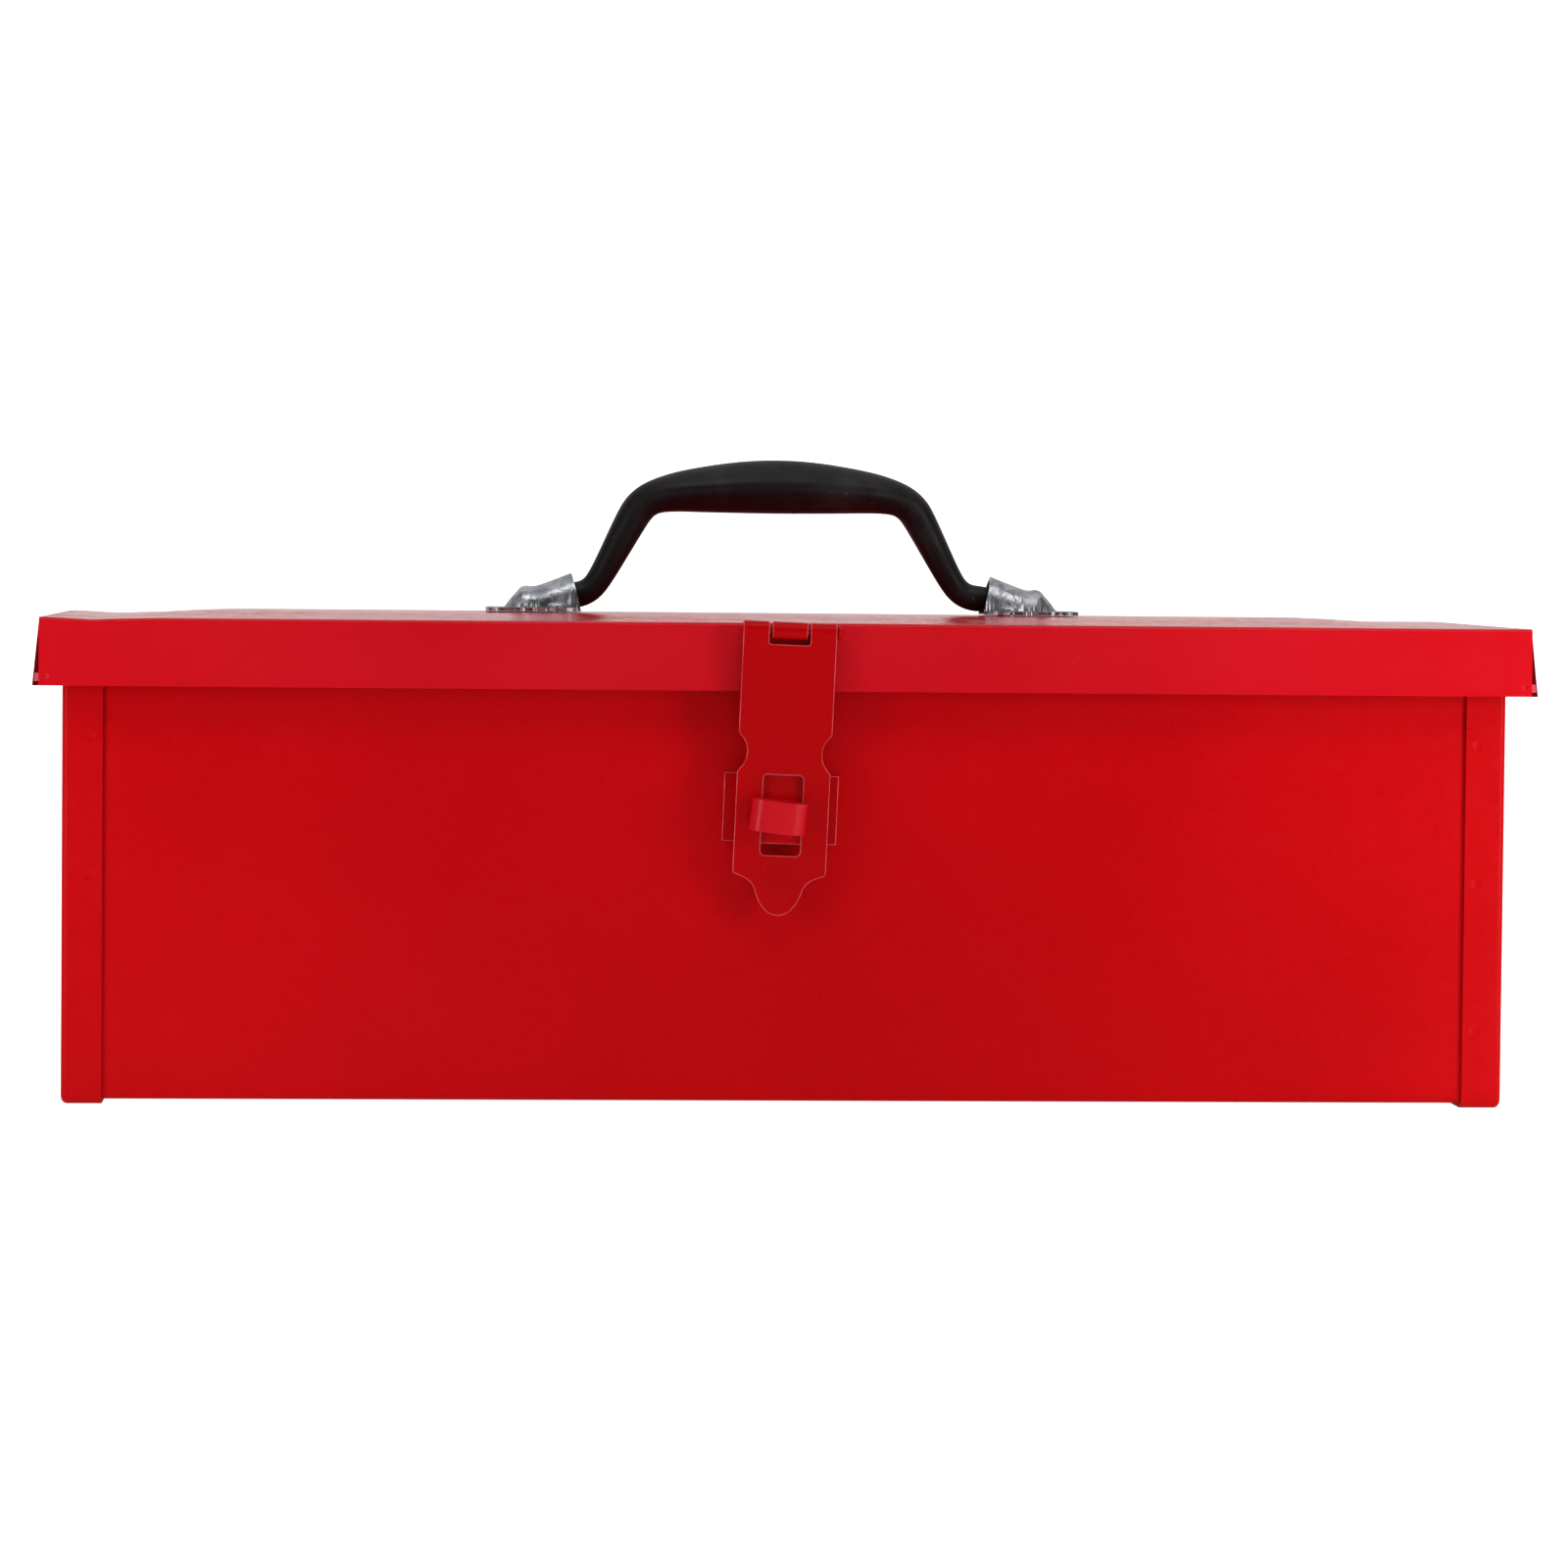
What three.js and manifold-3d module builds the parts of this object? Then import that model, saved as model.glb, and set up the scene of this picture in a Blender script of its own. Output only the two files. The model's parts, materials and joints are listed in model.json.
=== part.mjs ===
// A flat-topped sheet-steel box with a loose overhanging lid, a rear piano hinge, a hasp with a
// turning staple, and a moulded carrying handle that pivots in two pressed clips.
// Millimetres. +X runs along the box, -Y is the front with the hasp, +Z is up.
// The origin is on the floor, in the middle of the whole outline seen from above.
import * as THREE from 'three';
import { mergeVertices } from 'three/addons/utils/BufferGeometryUtils.js';
import ManifoldModule from 'manifold-3d';

const wasm = await ManifoldModule();
wasm.setup();

// ---- driving dimensions -------------------------------------------------------------------

const SHEET = 1.0;             // thickness of every sheet-steel blank
const SEAT = 0.3;              // gap left between pieces that are welded or riveted together
const BOX_HEIGHT = 132;        // floor to the edges of the lid's top face
const BODY_LENGTH = 394;       // over the two end panels
const BODY_DEPTH = 146;        // over the end panels' flanges
const BODY_TOP = 130.7;        // the hemmed rim that the lid rests on
const LID_LENGTH = 406;
const LID_FRONT = -78;         // outer face of the lid's front skirt
const LID_REAR = 75.7;         // outer face of the lid's rear skirt
const LID_CROWN = 1.6;         // how far the middle of the lid's top bulges above its edges
const SKIRT_HEIGHT = 18.5;
const END_FLARE = 1.8;         // how far each end skirt leans out at its lower edge
const FLANGE_WIDTH = 11;       // end panel flanges, seen as a strip at each end of the front
const HEM_DEPTH = 5.5;
const HEM_SPACING = 1.6;       // between the middles of a wall and its folded-back hem

const HINGE_LENGTH = 360;
const HINGE_KNUCKLES = 11;
const HINGE_ROLL = 2.5;        // outer radius of a rolled knuckle
const HINGE_LEAF = 16;         // height of a leaf beyond the pin

const LATCH_SKEW = THREE.MathUtils.degToRad(2);     // the hasp is fitted a little out of square
const LATCH_LEAN = THREE.MathUtils.degToRad(3);     // the closed strap leans in towards the body
const LATCH_X = -0.7;
const HASP_ROLL = 2.4;         // outer radius of the hasp's knuckles
const STRAP_HALF = 12.7;
const STRAP_TIP = -77.4;       // lowest point of the strap, from its pin
const WINDOW = { z: -50, halfWidth: 5.4, halfHeight: 11, corner: 1.2 };
const STAPLE_TURN = THREE.MathUtils.degToRad(4.3);  // the staple rests turned across the window

const CLIP_CENTRE_X = 2;       // middle of the two handle clips
const CLIP_MOUTH = 57;         // from that middle to each clip's mouth
const HANDLE_SHIFT = -1.6;     // the handle's end play, taken up to the left
const PIVOT_HEIGHT = 4.6;      // handle pivot above the crown of the lid

// ---- materials ----------------------------------------------------------------------------

const redPaint = new THREE.MeshStandardMaterial({ color: 0xc4101a, roughness: 0.32, metalness: 0.0 });
const redHardware = new THREE.MeshStandardMaterial({ color: 0xb40f17, roughness: 0.3, metalness: 0.0 });
const zincSteel = new THREE.MeshStandardMaterial({ color: 0xa9adb2, roughness: 0.42, metalness: 0.9 });
const blackPlastic = new THREE.MeshStandardMaterial({ color: 0x1d1c1f, roughness: 0.6, metalness: 0.0 });

// ---- helpers: solids ----------------------------------------------------------------------

function toSolid(geometry) {
  const bare = geometry.clone();
  bare.deleteAttribute('normal');
  bare.deleteAttribute('uv');
  const merged = geometry.userData.welded ? bare : mergeVertices(bare, 1e-4);
  return new wasm.Manifold(new wasm.Mesh({
    numProp: 3,
    vertProperties: new Float32Array(merged.attributes.position.array),
    triVerts: new Uint32Array(merged.index.array),
  }));
}

function toGeometry(solid) {
  const { vertProperties, triVerts } = solid.getMesh();
  const geometry = new THREE.BufferGeometry();
  geometry.setAttribute('position', new THREE.BufferAttribute(vertProperties, 3));
  geometry.setIndex(new THREE.BufferAttribute(triVerts, 1));
  geometry.computeVertexNormals();
  geometry.userData.welded = true;
  return geometry;
}

function join(...geometries) {
  return toGeometry(geometries.map(toSolid).reduce((whole, piece) => whole.add(piece)));
}

function cut(geometry, ...tools) {
  return toGeometry(tools.map(toSolid).reduce((rest, tool) => rest.subtract(tool), toSolid(geometry)));
}

// ---- helpers: extrusions ------------------------------------------------------------------

const FROM_YZ = new THREE.Matrix4().makeBasis(
  new THREE.Vector3(0, 1, 0), new THREE.Vector3(0, 0, 1), new THREE.Vector3(1, 0, 0));
const FROM_XZ = new THREE.Matrix4().makeBasis(
  new THREE.Vector3(1, 0, 0), new THREE.Vector3(0, 0, 1), new THREE.Vector3(0, -1, 0));

function extrude(shape, depth, curveSegments) {
  return new THREE.ExtrudeGeometry(shape, { depth, bevelEnabled: false, curveSegments });
}

// A shape drawn in Y and Z, as a prism from x0 to x1.
function alongX(shape, x0, x1, curveSegments = 6) {
  return extrude(shape, x1 - x0, curveSegments).applyMatrix4(FROM_YZ).translate(x0, 0, 0);
}

// A shape drawn in X and Z, as a prism from y0 to y1.
function alongY(shape, y0, y1, curveSegments = 6) {
  return extrude(shape, y1 - y0, curveSegments).applyMatrix4(FROM_XZ).translate(0, y1, 0);
}

// A shape drawn in X and Y, as a prism from z0 to z1.
function alongZ(shape, z0, z1, curveSegments = 6) {
  return extrude(shape, z1 - z0, curveSegments).translate(0, 0, z0);
}

function box(x0, x1, y0, y1, z0, z1) {
  const geometry = new THREE.BoxGeometry(x1 - x0, y1 - y0, z1 - z0);
  return geometry.translate((x0 + x1) / 2, (y0 + y1) / 2, (z0 + z1) / 2);
}

function roundedRect(u0, u1, v0, v1, radius) {
  const shape = new THREE.Shape();
  shape.moveTo(u0 + radius, v0);
  shape.lineTo(u1 - radius, v0);
  shape.absarc(u1 - radius, v0 + radius, radius, -Math.PI / 2, 0, false);
  shape.lineTo(u1, v1 - radius);
  shape.absarc(u1 - radius, v1 - radius, radius, 0, Math.PI / 2, false);
  shape.lineTo(u0 + radius, v1);
  shape.absarc(u0 + radius, v1 - radius, radius, Math.PI / 2, Math.PI, false);
  shape.lineTo(u0, v0 + radius);
  shape.absarc(u0 + radius, v0 + radius, radius, Math.PI, 1.5 * Math.PI, false);
  return shape;
}

// ---- helpers: bent sheet ------------------------------------------------------------------

// The middle line of a bent sheet: corners [u, v, bend radius], with each bend as a short arc.
function bendLine(corners, steps = 3) {
  const points = [];
  corners.forEach(([u, v, radius = 0], i) => {
    const here = new THREE.Vector2(u, v);
    if (!radius || i === 0 || i === corners.length - 1) {
      points.push(here);
      return;
    }
    const back = new THREE.Vector2(...corners[i - 1]).sub(here).normalize();
    const ahead = new THREE.Vector2(...corners[i + 1]).sub(here).normalize();
    const half = Math.acos(THREE.MathUtils.clamp(back.dot(ahead), -1, 1)) / 2;
    const reach = radius / Math.tan(half);
    const centre = back.clone().add(ahead).normalize().multiplyScalar(radius / Math.sin(half)).add(here);
    const from = here.clone().addScaledVector(back, reach).sub(centre);
    const to = here.clone().addScaledVector(ahead, reach).sub(centre);
    const turn = Math.atan2(from.cross(to), from.dot(to));
    for (let k = 0; k <= steps; k += 1) {
      points.push(from.clone().rotateAround(new THREE.Vector2(), (turn * k) / steps).add(centre));
    }
  });
  return points.filter((point, i) => i === 0 || point.distanceTo(points[i - 1]) > 1e-3);
}

// The line moved sideways by a distance, with mitred corners.
function offsetLine(points, distance, closed = false) {
  const count = points.length;
  return points.map((point, i) => {
    const before = closed ? points[(i + count - 1) % count] : points[Math.max(i - 1, 0)];
    const after = closed ? points[(i + 1) % count] : points[Math.min(i + 1, count - 1)];
    const arriving = point.clone().sub(before);
    const leaving = after.clone().sub(point);
    const first = arriving.lengthSq() ? arriving.normalize() : leaving.clone().normalize();
    const second = leaving.lengthSq() ? leaving.normalize() : first;
    const normal = new THREE.Vector2(-first.y - second.y, first.x + second.x).normalize();
    const mitre = normal.dot(new THREE.Vector2(-first.y, first.x));
    return point.clone().addScaledVector(normal, distance / mitre);
  });
}

function sheetShape(corners, thickness = SHEET, steps = 3) {
  const line = bendLine(corners, steps);
  const near = offsetLine(line, thickness / 2);
  const far = offsetLine(line, -thickness / 2);
  return new THREE.Shape([...near, ...far.reverse()]);
}

// ---- helpers: lofts -----------------------------------------------------------------------

// A closed body through rings of equal length, with flat ends.
function loft(rings) {
  const around = rings[0].length;
  const positions = rings.flat().flatMap((p) => [p.x, p.y, p.z]);
  const index = [];
  for (let i = 0; i + 1 < rings.length; i += 1) {
    for (let k = 0; k < around; k += 1) {
      const a = i * around + k;
      const b = i * around + ((k + 1) % around);
      index.push(a, b, a + around, b, b + around, a + around);
    }
  }
  const last = (rings.length - 1) * around;
  for (let k = 1; k + 1 < around; k += 1) {
    index.push(0, k + 1, k);
    index.push(last, last + k, last + k + 1);
  }
  const geometry = new THREE.BufferGeometry();
  geometry.setAttribute('position', new THREE.Float32BufferAttribute(positions, 3));
  geometry.setIndex(index);
  return geometry;
}

// A turned piece: its profile [radius, height] runs from axis to axis, and its axis is +Z.
function turned(profile, segments = 14) {
  const points = profile.map(([r, z]) => new THREE.Vector2(r, z));
  return new THREE.LatheGeometry(points, segments).rotateX(Math.PI / 2);
}

// A rivet standing along +Z: a low dome above z = 0, a shank, and a flattened tail below.
function rivetProfile(headRadius, headHeight, shankRadius, grip, tailRadius, tailHeight) {
  return [
    [0, -grip - tailHeight],
    [tailRadius * 0.8, -grip - tailHeight],
    [tailRadius, -grip - tailHeight * 0.5],
    [tailRadius, -grip],
    [shankRadius, -grip],
    [shankRadius, 0],
    [headRadius, 0],
    [headRadius * 0.88, headHeight * 0.5],
    [headRadius * 0.5, headHeight * 0.9],
    [0, headHeight],
  ];
}

// ---- the scene graph ----------------------------------------------------------------------

const lunchBox = new THREE.Group();
const assembly = new THREE.Group();
lunchBox.add(assembly);

const lidGroup = new THREE.Group();          // origin level with the edges of the lid's top face
lidGroup.position.z = BOX_HEIGHT;
const crownGroup = new THREE.Group();        // origin on the crown of the lid
crownGroup.position.z = LID_CROWN;
lidGroup.add(crownGroup);
const hingeGroup = new THREE.Group();        // origin on the lid hinge's pin
const latchGroup = new THREE.Group();        // origin on the hasp's pin, square to the strap's edges
const leanGroup = new THREE.Group();         // the same origin, square to the closed strap's face
latchGroup.add(leanGroup);
assembly.add(lidGroup, hingeGroup, latchGroup);

function addPiece(parent, name, geometry, material) {
  const mesh = new THREE.Mesh(geometry, material);
  mesh.name = name;
  parent.add(mesh);
  return mesh;
}

// ---- body ---------------------------------------------------------------------------------

const flangeFace = BODY_DEPTH / 2;                       // outer face of the flanges
const shellFace = flangeFace - SHEET - SEAT;             // outer face of the front and rear walls
const shellUnderside = SHEET + SEAT;
const webInner = BODY_LENGTH / 2 - SHEET;                // inner face of an end panel
const BEND = 1.5;                                        // middle radius of the body's long bends

function bodyShell() {
  const wall = shellFace - SHEET / 2;
  const floor = shellUnderside + SHEET / 2;
  const rim = BODY_TOP - SHEET / 2;
  const hem = wall - HEM_SPACING;
  const fold = HEM_SPACING / 2;
  const profile = sheetShape([
    [-hem, rim - HEM_DEPTH], [-hem, rim, fold], [-wall, rim, fold],
    [-wall, floor, BEND], [wall, floor, BEND],
    [wall, rim, fold], [hem, rim, fold], [hem, rim - HEM_DEPTH],
  ], SHEET, 4);
  return alongX(profile, -webInner + SEAT, webInner - SEAT);
}

// The left end panel: a web with flanges wrapped round the front, the bottom and the rear.
function endPanel(side) {
  const outerCorner = BEND + SHEET / 2 + SHEET + SEAT;
  const wall = BODY_TOP - HEM_SPACING / 2 - SHEET / 2;   // where the rim's fold begins
  const outer = roundedRect(-flangeFace, flangeFace, 0, wall + outerCorner, outerCorner);
  const inner = roundedRect(-flangeFace + SHEET, flangeFace - SHEET, SHEET, wall + 20, outerCorner - SHEET);
  const end = BODY_LENGTH / 2;
  const tray = cut(
    alongX(outer, -end, -end + FLANGE_WIDTH),
    alongX(inner, -end + SHEET, -end + FLANGE_WIDTH + 1),
    box(-end - 1, end, -flangeFace - 1, flangeFace + 1, wall, wall + 30),
  );
  const rim = BODY_TOP - SHEET / 2;
  const web = -end + SHEET / 2;
  const fold = HEM_SPACING / 2;
  const hem = sheetShape([
    [web, wall - 10], [web, rim, fold], [web + HEM_SPACING, rim, fold],
    [web + HEM_SPACING, rim - HEM_DEPTH],
  ], SHEET, 4);
  const hemReach = shellFace - SHEET - HEM_SPACING - 1.4;
  const panel = join(tray, alongY(hem, -hemReach, hemReach));
  return side < 0 ? panel : panel.rotateZ(Math.PI);
}

addPiece(assembly, 'body_shell', bodyShell(), redPaint);
addPiece(assembly, 'left_end_panel', endPanel(-1), redPaint);
addPiece(assembly, 'right_end_panel', endPanel(1), redPaint);

// ---- lid ----------------------------------------------------------------------------------

const RIVET_HOLE = 1.6;
const CLIP_RIVET = { inset: 7, reach: 11 };              // from the mouth, and from the middle line
const clipRivets = [-1, 1].flatMap((side) => [-1, 1].map((row) => ({
  x: CLIP_CENTRE_X + side * (CLIP_MOUTH + CLIP_RIVET.inset),
  y: row * CLIP_RIVET.reach,
  name: `${side < 0 ? 'left' : 'right'}_clip_${row < 0 ? 'front' : 'rear'}_rivet`,
})));

const LID_BEND = 0.7;                                    // middle radius of the lid's sharper bends
const CROWN_MARGIN = 13;                                 // flat border of the lid's top
const CROWN_STEPS = [0, 8, 16, 24, 32, 40].map((step) => step + CROWN_MARGIN);

// The part of the crown that is reached at a distance from an edge of the lid.
function crownShare(distance) {
  return THREE.MathUtils.smoothstep(distance, CROWN_STEPS[0], CROWN_STEPS.at(-1));
}

// The lid's top with its front and rear skirts, bent from one sheet and crowned in the middle.
function lidChannel() {
  const half = LID_LENGTH / 2;
  const middle = SHEET / 2;
  const crownAt = (y) => LID_CROWN * crownShare(Math.min(y - LID_FRONT, LID_REAR - y));
  const flat = sheetShape([
    [LID_FRONT + middle, -SKIRT_HEIGHT], [LID_FRONT + middle, -middle, LID_BEND],
    ...CROWN_STEPS.map((step) => [LID_FRONT + step, -middle]),
    ...CROWN_STEPS.map((step) => [LID_REAR - step, -middle]).reverse(),
    [LID_REAR - middle, -middle, LID_BEND], [LID_REAR - middle, -SKIRT_HEIGHT],
  ], SHEET, 4);
  const crowned = flat.getPoints().map((point) => point.clone().setY(point.y + crownAt(point.x)));
  const fromEnd = [0, ...CROWN_STEPS];
  const stations = [...fromEnd.map((d) => d - half), ...fromEnd.map((d) => half - d).reverse()];
  const steps = stations.length - 1;
  const section = new THREE.Shape(crowned);
  const geometry = new THREE.ExtrudeGeometry(section, { depth: 1, steps, bevelEnabled: false });
  geometry.applyMatrix4(FROM_YZ);
  const points = geometry.attributes.position;
  for (let i = 0; i < points.count; i += 1) {
    const x = stations[Math.round(points.getX(i) * steps)];
    const missing = 1 - crownShare(half - Math.abs(x));
    points.setX(i, x);
    points.setZ(i, points.getZ(i) - missing * crownAt(points.getY(i)));
  }
  return geometry;
}

function lid() {
  const half = LID_LENGTH / 2;
  const middle = SHEET / 2;
  const endSkirts = [-1, 1].map((side) => {
    const skirt = sheetShape([
      [side * (half - 12), -middle], [side * (half - middle), -middle, LID_BEND],
      [side * (half - middle + END_FLARE), -SKIRT_HEIGHT],
    ], SHEET, 4);
    return alongY(skirt, LID_FRONT + SHEET, LID_REAR - SHEET);
  });
  // Each end skirt is folded round its corners, behind the front and rear skirts.
  const TAB_REACH = 12;
  const TAB_CLEAR = 1.6;                                 // the tabs stop short of the lower edge
  const tabs = [-1, 1].flatMap((side) => {
    const shape = new THREE.Shape([
      new THREE.Vector2(side * (half - TAB_REACH), -middle),
      new THREE.Vector2(side * (half - middle), -middle),
      new THREE.Vector2(side * (half - middle + END_FLARE), -SKIRT_HEIGHT + TAB_CLEAR),
      new THREE.Vector2(side * (half - TAB_REACH), -SKIRT_HEIGHT + TAB_CLEAR),
    ]);
    const front = LID_FRONT + SHEET;
    const rear = LID_REAR - SHEET;
    return [alongY(shape, front, front + SHEET), alongY(shape, rear - SHEET, rear)];
  });
  const holes = clipRivets.map(({ x, y }) => {
    const drill = new THREE.CylinderGeometry(RIVET_HOLE, RIVET_HOLE, 4, 14);
    return drill.rotateX(Math.PI / 2).translate(x, y, LID_CROWN - middle);
  });
  return cut(join(lidChannel(), ...endSkirts, ...tabs), ...holes);
}

addPiece(lidGroup, 'lid', lid(), redPaint);

// ---- lid hinge ----------------------------------------------------------------------------

// Seen from the pin, the body's leaf hangs on the front side and the lid's stands on the rear side.
const lidLeafFace = LID_REAR + SEAT + SHEET;             // outer face of the lid's leaf
hingeGroup.position.set(0, lidLeafFace - HINGE_ROLL, BOX_HEIGHT - SKIRT_HEIGHT - HINGE_ROLL - SEAT);

const HINGE_PIN = 1.3;
const KNUCKLE_GAP = 0.4;
const KNUCKLE_CLEARANCE = 0.3;                           // round the other leaf's knuckles

// One rolled knuckle and the strip of leaf it is rolled from, hanging down on the -Y side.
function knuckleShape(roll, stem) {
  const bore = roll - SHEET;
  const side = roll - SHEET;
  const meeting = Math.atan2(-Math.sqrt(roll * roll - side * side), -side);
  const shape = new THREE.Shape();
  shape.moveTo(-side, -stem);
  shape.lineTo(-side, roll * Math.sin(meeting));
  shape.absarc(0, 0, roll, meeting, Math.PI, false);
  shape.lineTo(-roll, -stem);
  shape.closePath();
  shape.holes.push(new THREE.Path().absarc(0, 0, bore, 0, 2 * Math.PI, true));
  return shape;
}

// Every second knuckle, starting with the first or the second, on one leaf.
function hingeLeaf(first) {
  const pitch = HINGE_LENGTH / HINGE_KNUCKLES;
  const edge = HINGE_ROLL + KNUCKLE_CLEARANCE;
  const shape = knuckleShape(HINGE_ROLL, edge + 0.5);
  const plate = box(
    -HINGE_LENGTH / 2, HINGE_LENGTH / 2, -HINGE_ROLL, -HINGE_ROLL + SHEET, -HINGE_LEAF, -edge);
  const knuckles = [];
  for (let k = first; k < HINGE_KNUCKLES; k += 2) {
    const start = -HINGE_LENGTH / 2 + k * pitch;
    knuckles.push(alongX(shape, start + KNUCKLE_GAP / 2, start + pitch - KNUCKLE_GAP / 2, 8));
  }
  return join(plate, ...knuckles);
}

function headedPin(radius, headRadius, headLength, length) {
  const end = length / 2;
  const pin = turned([
    [0, -end - headLength], [headRadius * 0.6, -end - headLength], [headRadius, -end - headLength * 0.4],
    [headRadius, -end], [radius, -end], [radius, end], [headRadius, end],
    [headRadius, end + headLength * 0.4], [headRadius * 0.6, end + headLength], [0, end + headLength],
  ]);
  return pin.rotateY(Math.PI / 2);
}

addPiece(hingeGroup, 'body_hinge_leaf', hingeLeaf(0), redHardware);
addPiece(hingeGroup, 'lid_hinge_leaf', hingeLeaf(1), redHardware).rotation.x = Math.PI;
addPiece(hingeGroup, 'hinge_pin', headedPin(HINGE_PIN, 2.1, 1.2, HINGE_LENGTH + 0.4), zincSteel);

// ---- hasp: bracket, pin and strap ---------------------------------------------------------

latchGroup.position.set(LATCH_X, LID_FRONT - SEAT - HASP_ROLL, BOX_HEIGHT - HASP_ROLL + 0.3);
latchGroup.rotation.y = LATCH_SKEW;
leanGroup.rotation.x = LATCH_LEAN;

const HASP_PIN = 1.2;
const BRACKET_TAB = 4.8;                                 // half the width of the bracket's knuckle
const NOTCH_HALF = 5.6;                                  // half the width of the strap's top notch

// The bracket is welded to the lid: one knuckle on a plate behind the strap.
function haspBracket() {
  const plateHalf = 11.5;
  const plateDrop = 14;
  const roll = alongX(knuckleShape(HASP_ROLL, 4), -BRACKET_TAB, BRACKET_TAB, 10);
  const plate = roundedRect(-plateHalf, plateHalf, -plateDrop, -HASP_ROLL - 0.9, 1.5);
  return join(roll.scale(-1, -1, 1), alongY(plate, HASP_ROLL - SHEET, HASP_ROLL));
}

// The strap's outline from its notched top to its rounded tip, with a waist and a window.
function strapOutline() {
  const half = STRAP_HALF;
  const top = 0;
  const notchFloor = -3.6;
  const waist = { top: -27.7, deepest: -32.9, depth: 2.5, end: -38.5 };
  const shoulder = -66.1;
  const tipRadius = 5.7;
  const neck = { half: 6.6, z: -70.2 };
  const shape = new THREE.Shape();
  shape.moveTo(-half, top);
  shape.lineTo(-half, waist.top);
  shape.quadraticCurveTo(-half + waist.depth, waist.top - 1.8, -half + waist.depth, waist.deepest);
  shape.quadraticCurveTo(-half + waist.depth, waist.end + 2.6, -half, waist.end);
  shape.lineTo(-half, shoulder + 0.8);
  shape.quadraticCurveTo(-half, shoulder, -half + 0.9, shoulder - 0.3);
  shape.bezierCurveTo(-half + 3, shoulder - 0.9, -neck.half - 0.9, neck.z + 1.6, -neck.half, neck.z);
  shape.bezierCurveTo(-tipRadius, neck.z - 3.4, -tipRadius * 0.62, STRAP_TIP, 0, STRAP_TIP);
  shape.bezierCurveTo(tipRadius * 0.62, STRAP_TIP, tipRadius, neck.z - 3.4, neck.half, neck.z);
  shape.bezierCurveTo(neck.half + 0.9, neck.z + 1.6, half - 3, shoulder - 0.9, half - 0.9, shoulder - 0.3);
  shape.quadraticCurveTo(half, shoulder, half, shoulder + 0.8);
  shape.lineTo(half, waist.end);
  shape.quadraticCurveTo(half - waist.depth, waist.end + 2.6, half - waist.depth, waist.deepest);
  shape.quadraticCurveTo(half - waist.depth, waist.top - 1.8, half, waist.top);
  shape.lineTo(half, top);
  shape.lineTo(NOTCH_HALF, top);
  shape.lineTo(NOTCH_HALF, notchFloor);
  shape.lineTo(-NOTCH_HALF, notchFloor);
  shape.lineTo(-NOTCH_HALF, top);
  shape.closePath();
  const { z, halfWidth, halfHeight, corner } = WINDOW;
  shape.holes.push(roundedRect(-halfWidth, halfWidth, z - halfHeight, z + halfHeight, corner));
  return shape;
}

function haspStrap() {
  const plate = alongY(strapOutline(), -HASP_ROLL, -HASP_ROLL + SHEET, 5);
  const ear = knuckleShape(HASP_ROLL, 3);
  return join(
    plate,
    alongX(ear, -STRAP_HALF, -NOTCH_HALF, 10),
    alongX(ear, NOTCH_HALF, STRAP_HALF, 10),
  );
}

addPiece(latchGroup, 'hasp_bracket', haspBracket(), redHardware);
addPiece(latchGroup, 'hasp_pin', headedPin(HASP_PIN, 1.8, 1.5, 2 * STRAP_HALF + 0.4), redHardware);
addPiece(leanGroup, 'hasp_strap', haspStrap(), redHardware);

// ---- staple: raised bracket, washer, turning loop and rivet -------------------------------

const STRAP_BACK = -HASP_ROLL + SHEET;                   // in the leaning frame
const raisedFace = STRAP_BACK + 0.35;                    // the bracket's face, just behind the strap
const WASHER = { outer: 3.4, inner: 1.2, thickness: 0.5 };
const LOOP = { thickness: 1, halfHeight: 4.3, halfWidth: 7.1, halfDepth: 3.8, neck: 2.4, shift: -1.2 };
const STAPLE_RIVET = { shank: 1, hole: 1.2, head: 1.7, headHeight: 0.8, tail: 2.2, tailHeight: 1 };

// A hat-shaped bracket: two feet on the body's front wall, and a raised face parallel to the strap.
function stapleBracket() {
  const footFace = -latchGroup.position.y - shellFace - SEAT;   // back of the feet, from the pin
  const foot = footFace - SHEET / 2;
  const footHalf = 15.6;
  const topHalf = 10;
  const rise = (z) => (raisedFace + SHEET / 2) / Math.cos(LATCH_LEAN) - z * Math.tan(LATCH_LEAN);
  const centre = -48.5;
  const halfHeight = 9.4;
  const hat = sheetShape([
    [-footHalf, foot], [-topHalf, foot, 1.2], [-topHalf, rise(centre), 1.2],
    [topHalf, rise(centre), 1.2], [topHalf, foot, 1.2], [footHalf, foot],
  ], SHEET, 3);
  const geometry = alongZ(hat, centre - halfHeight, centre + halfHeight);
  // The raised part is sheared so that its face follows the lean of the strap.
  const points = geometry.attributes.position;
  const span = foot - rise(centre);
  for (let i = 0; i < points.count; i += 1) {
    const share = THREE.MathUtils.clamp((foot - points.getY(i)) / span, 0, 1);
    const shift = (rise(points.getZ(i)) - rise(centre)) * share;
    points.setY(i, points.getY(i) + shift);
  }
  const drill = new THREE.CylinderGeometry(STAPLE_RIVET.hole, STAPLE_RIVET.hole, 6, 14);
  drill.translate(0, raisedFace, WINDOW.z).rotateX(LATCH_LEAN);
  return cut(geometry, drill);
}

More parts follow.
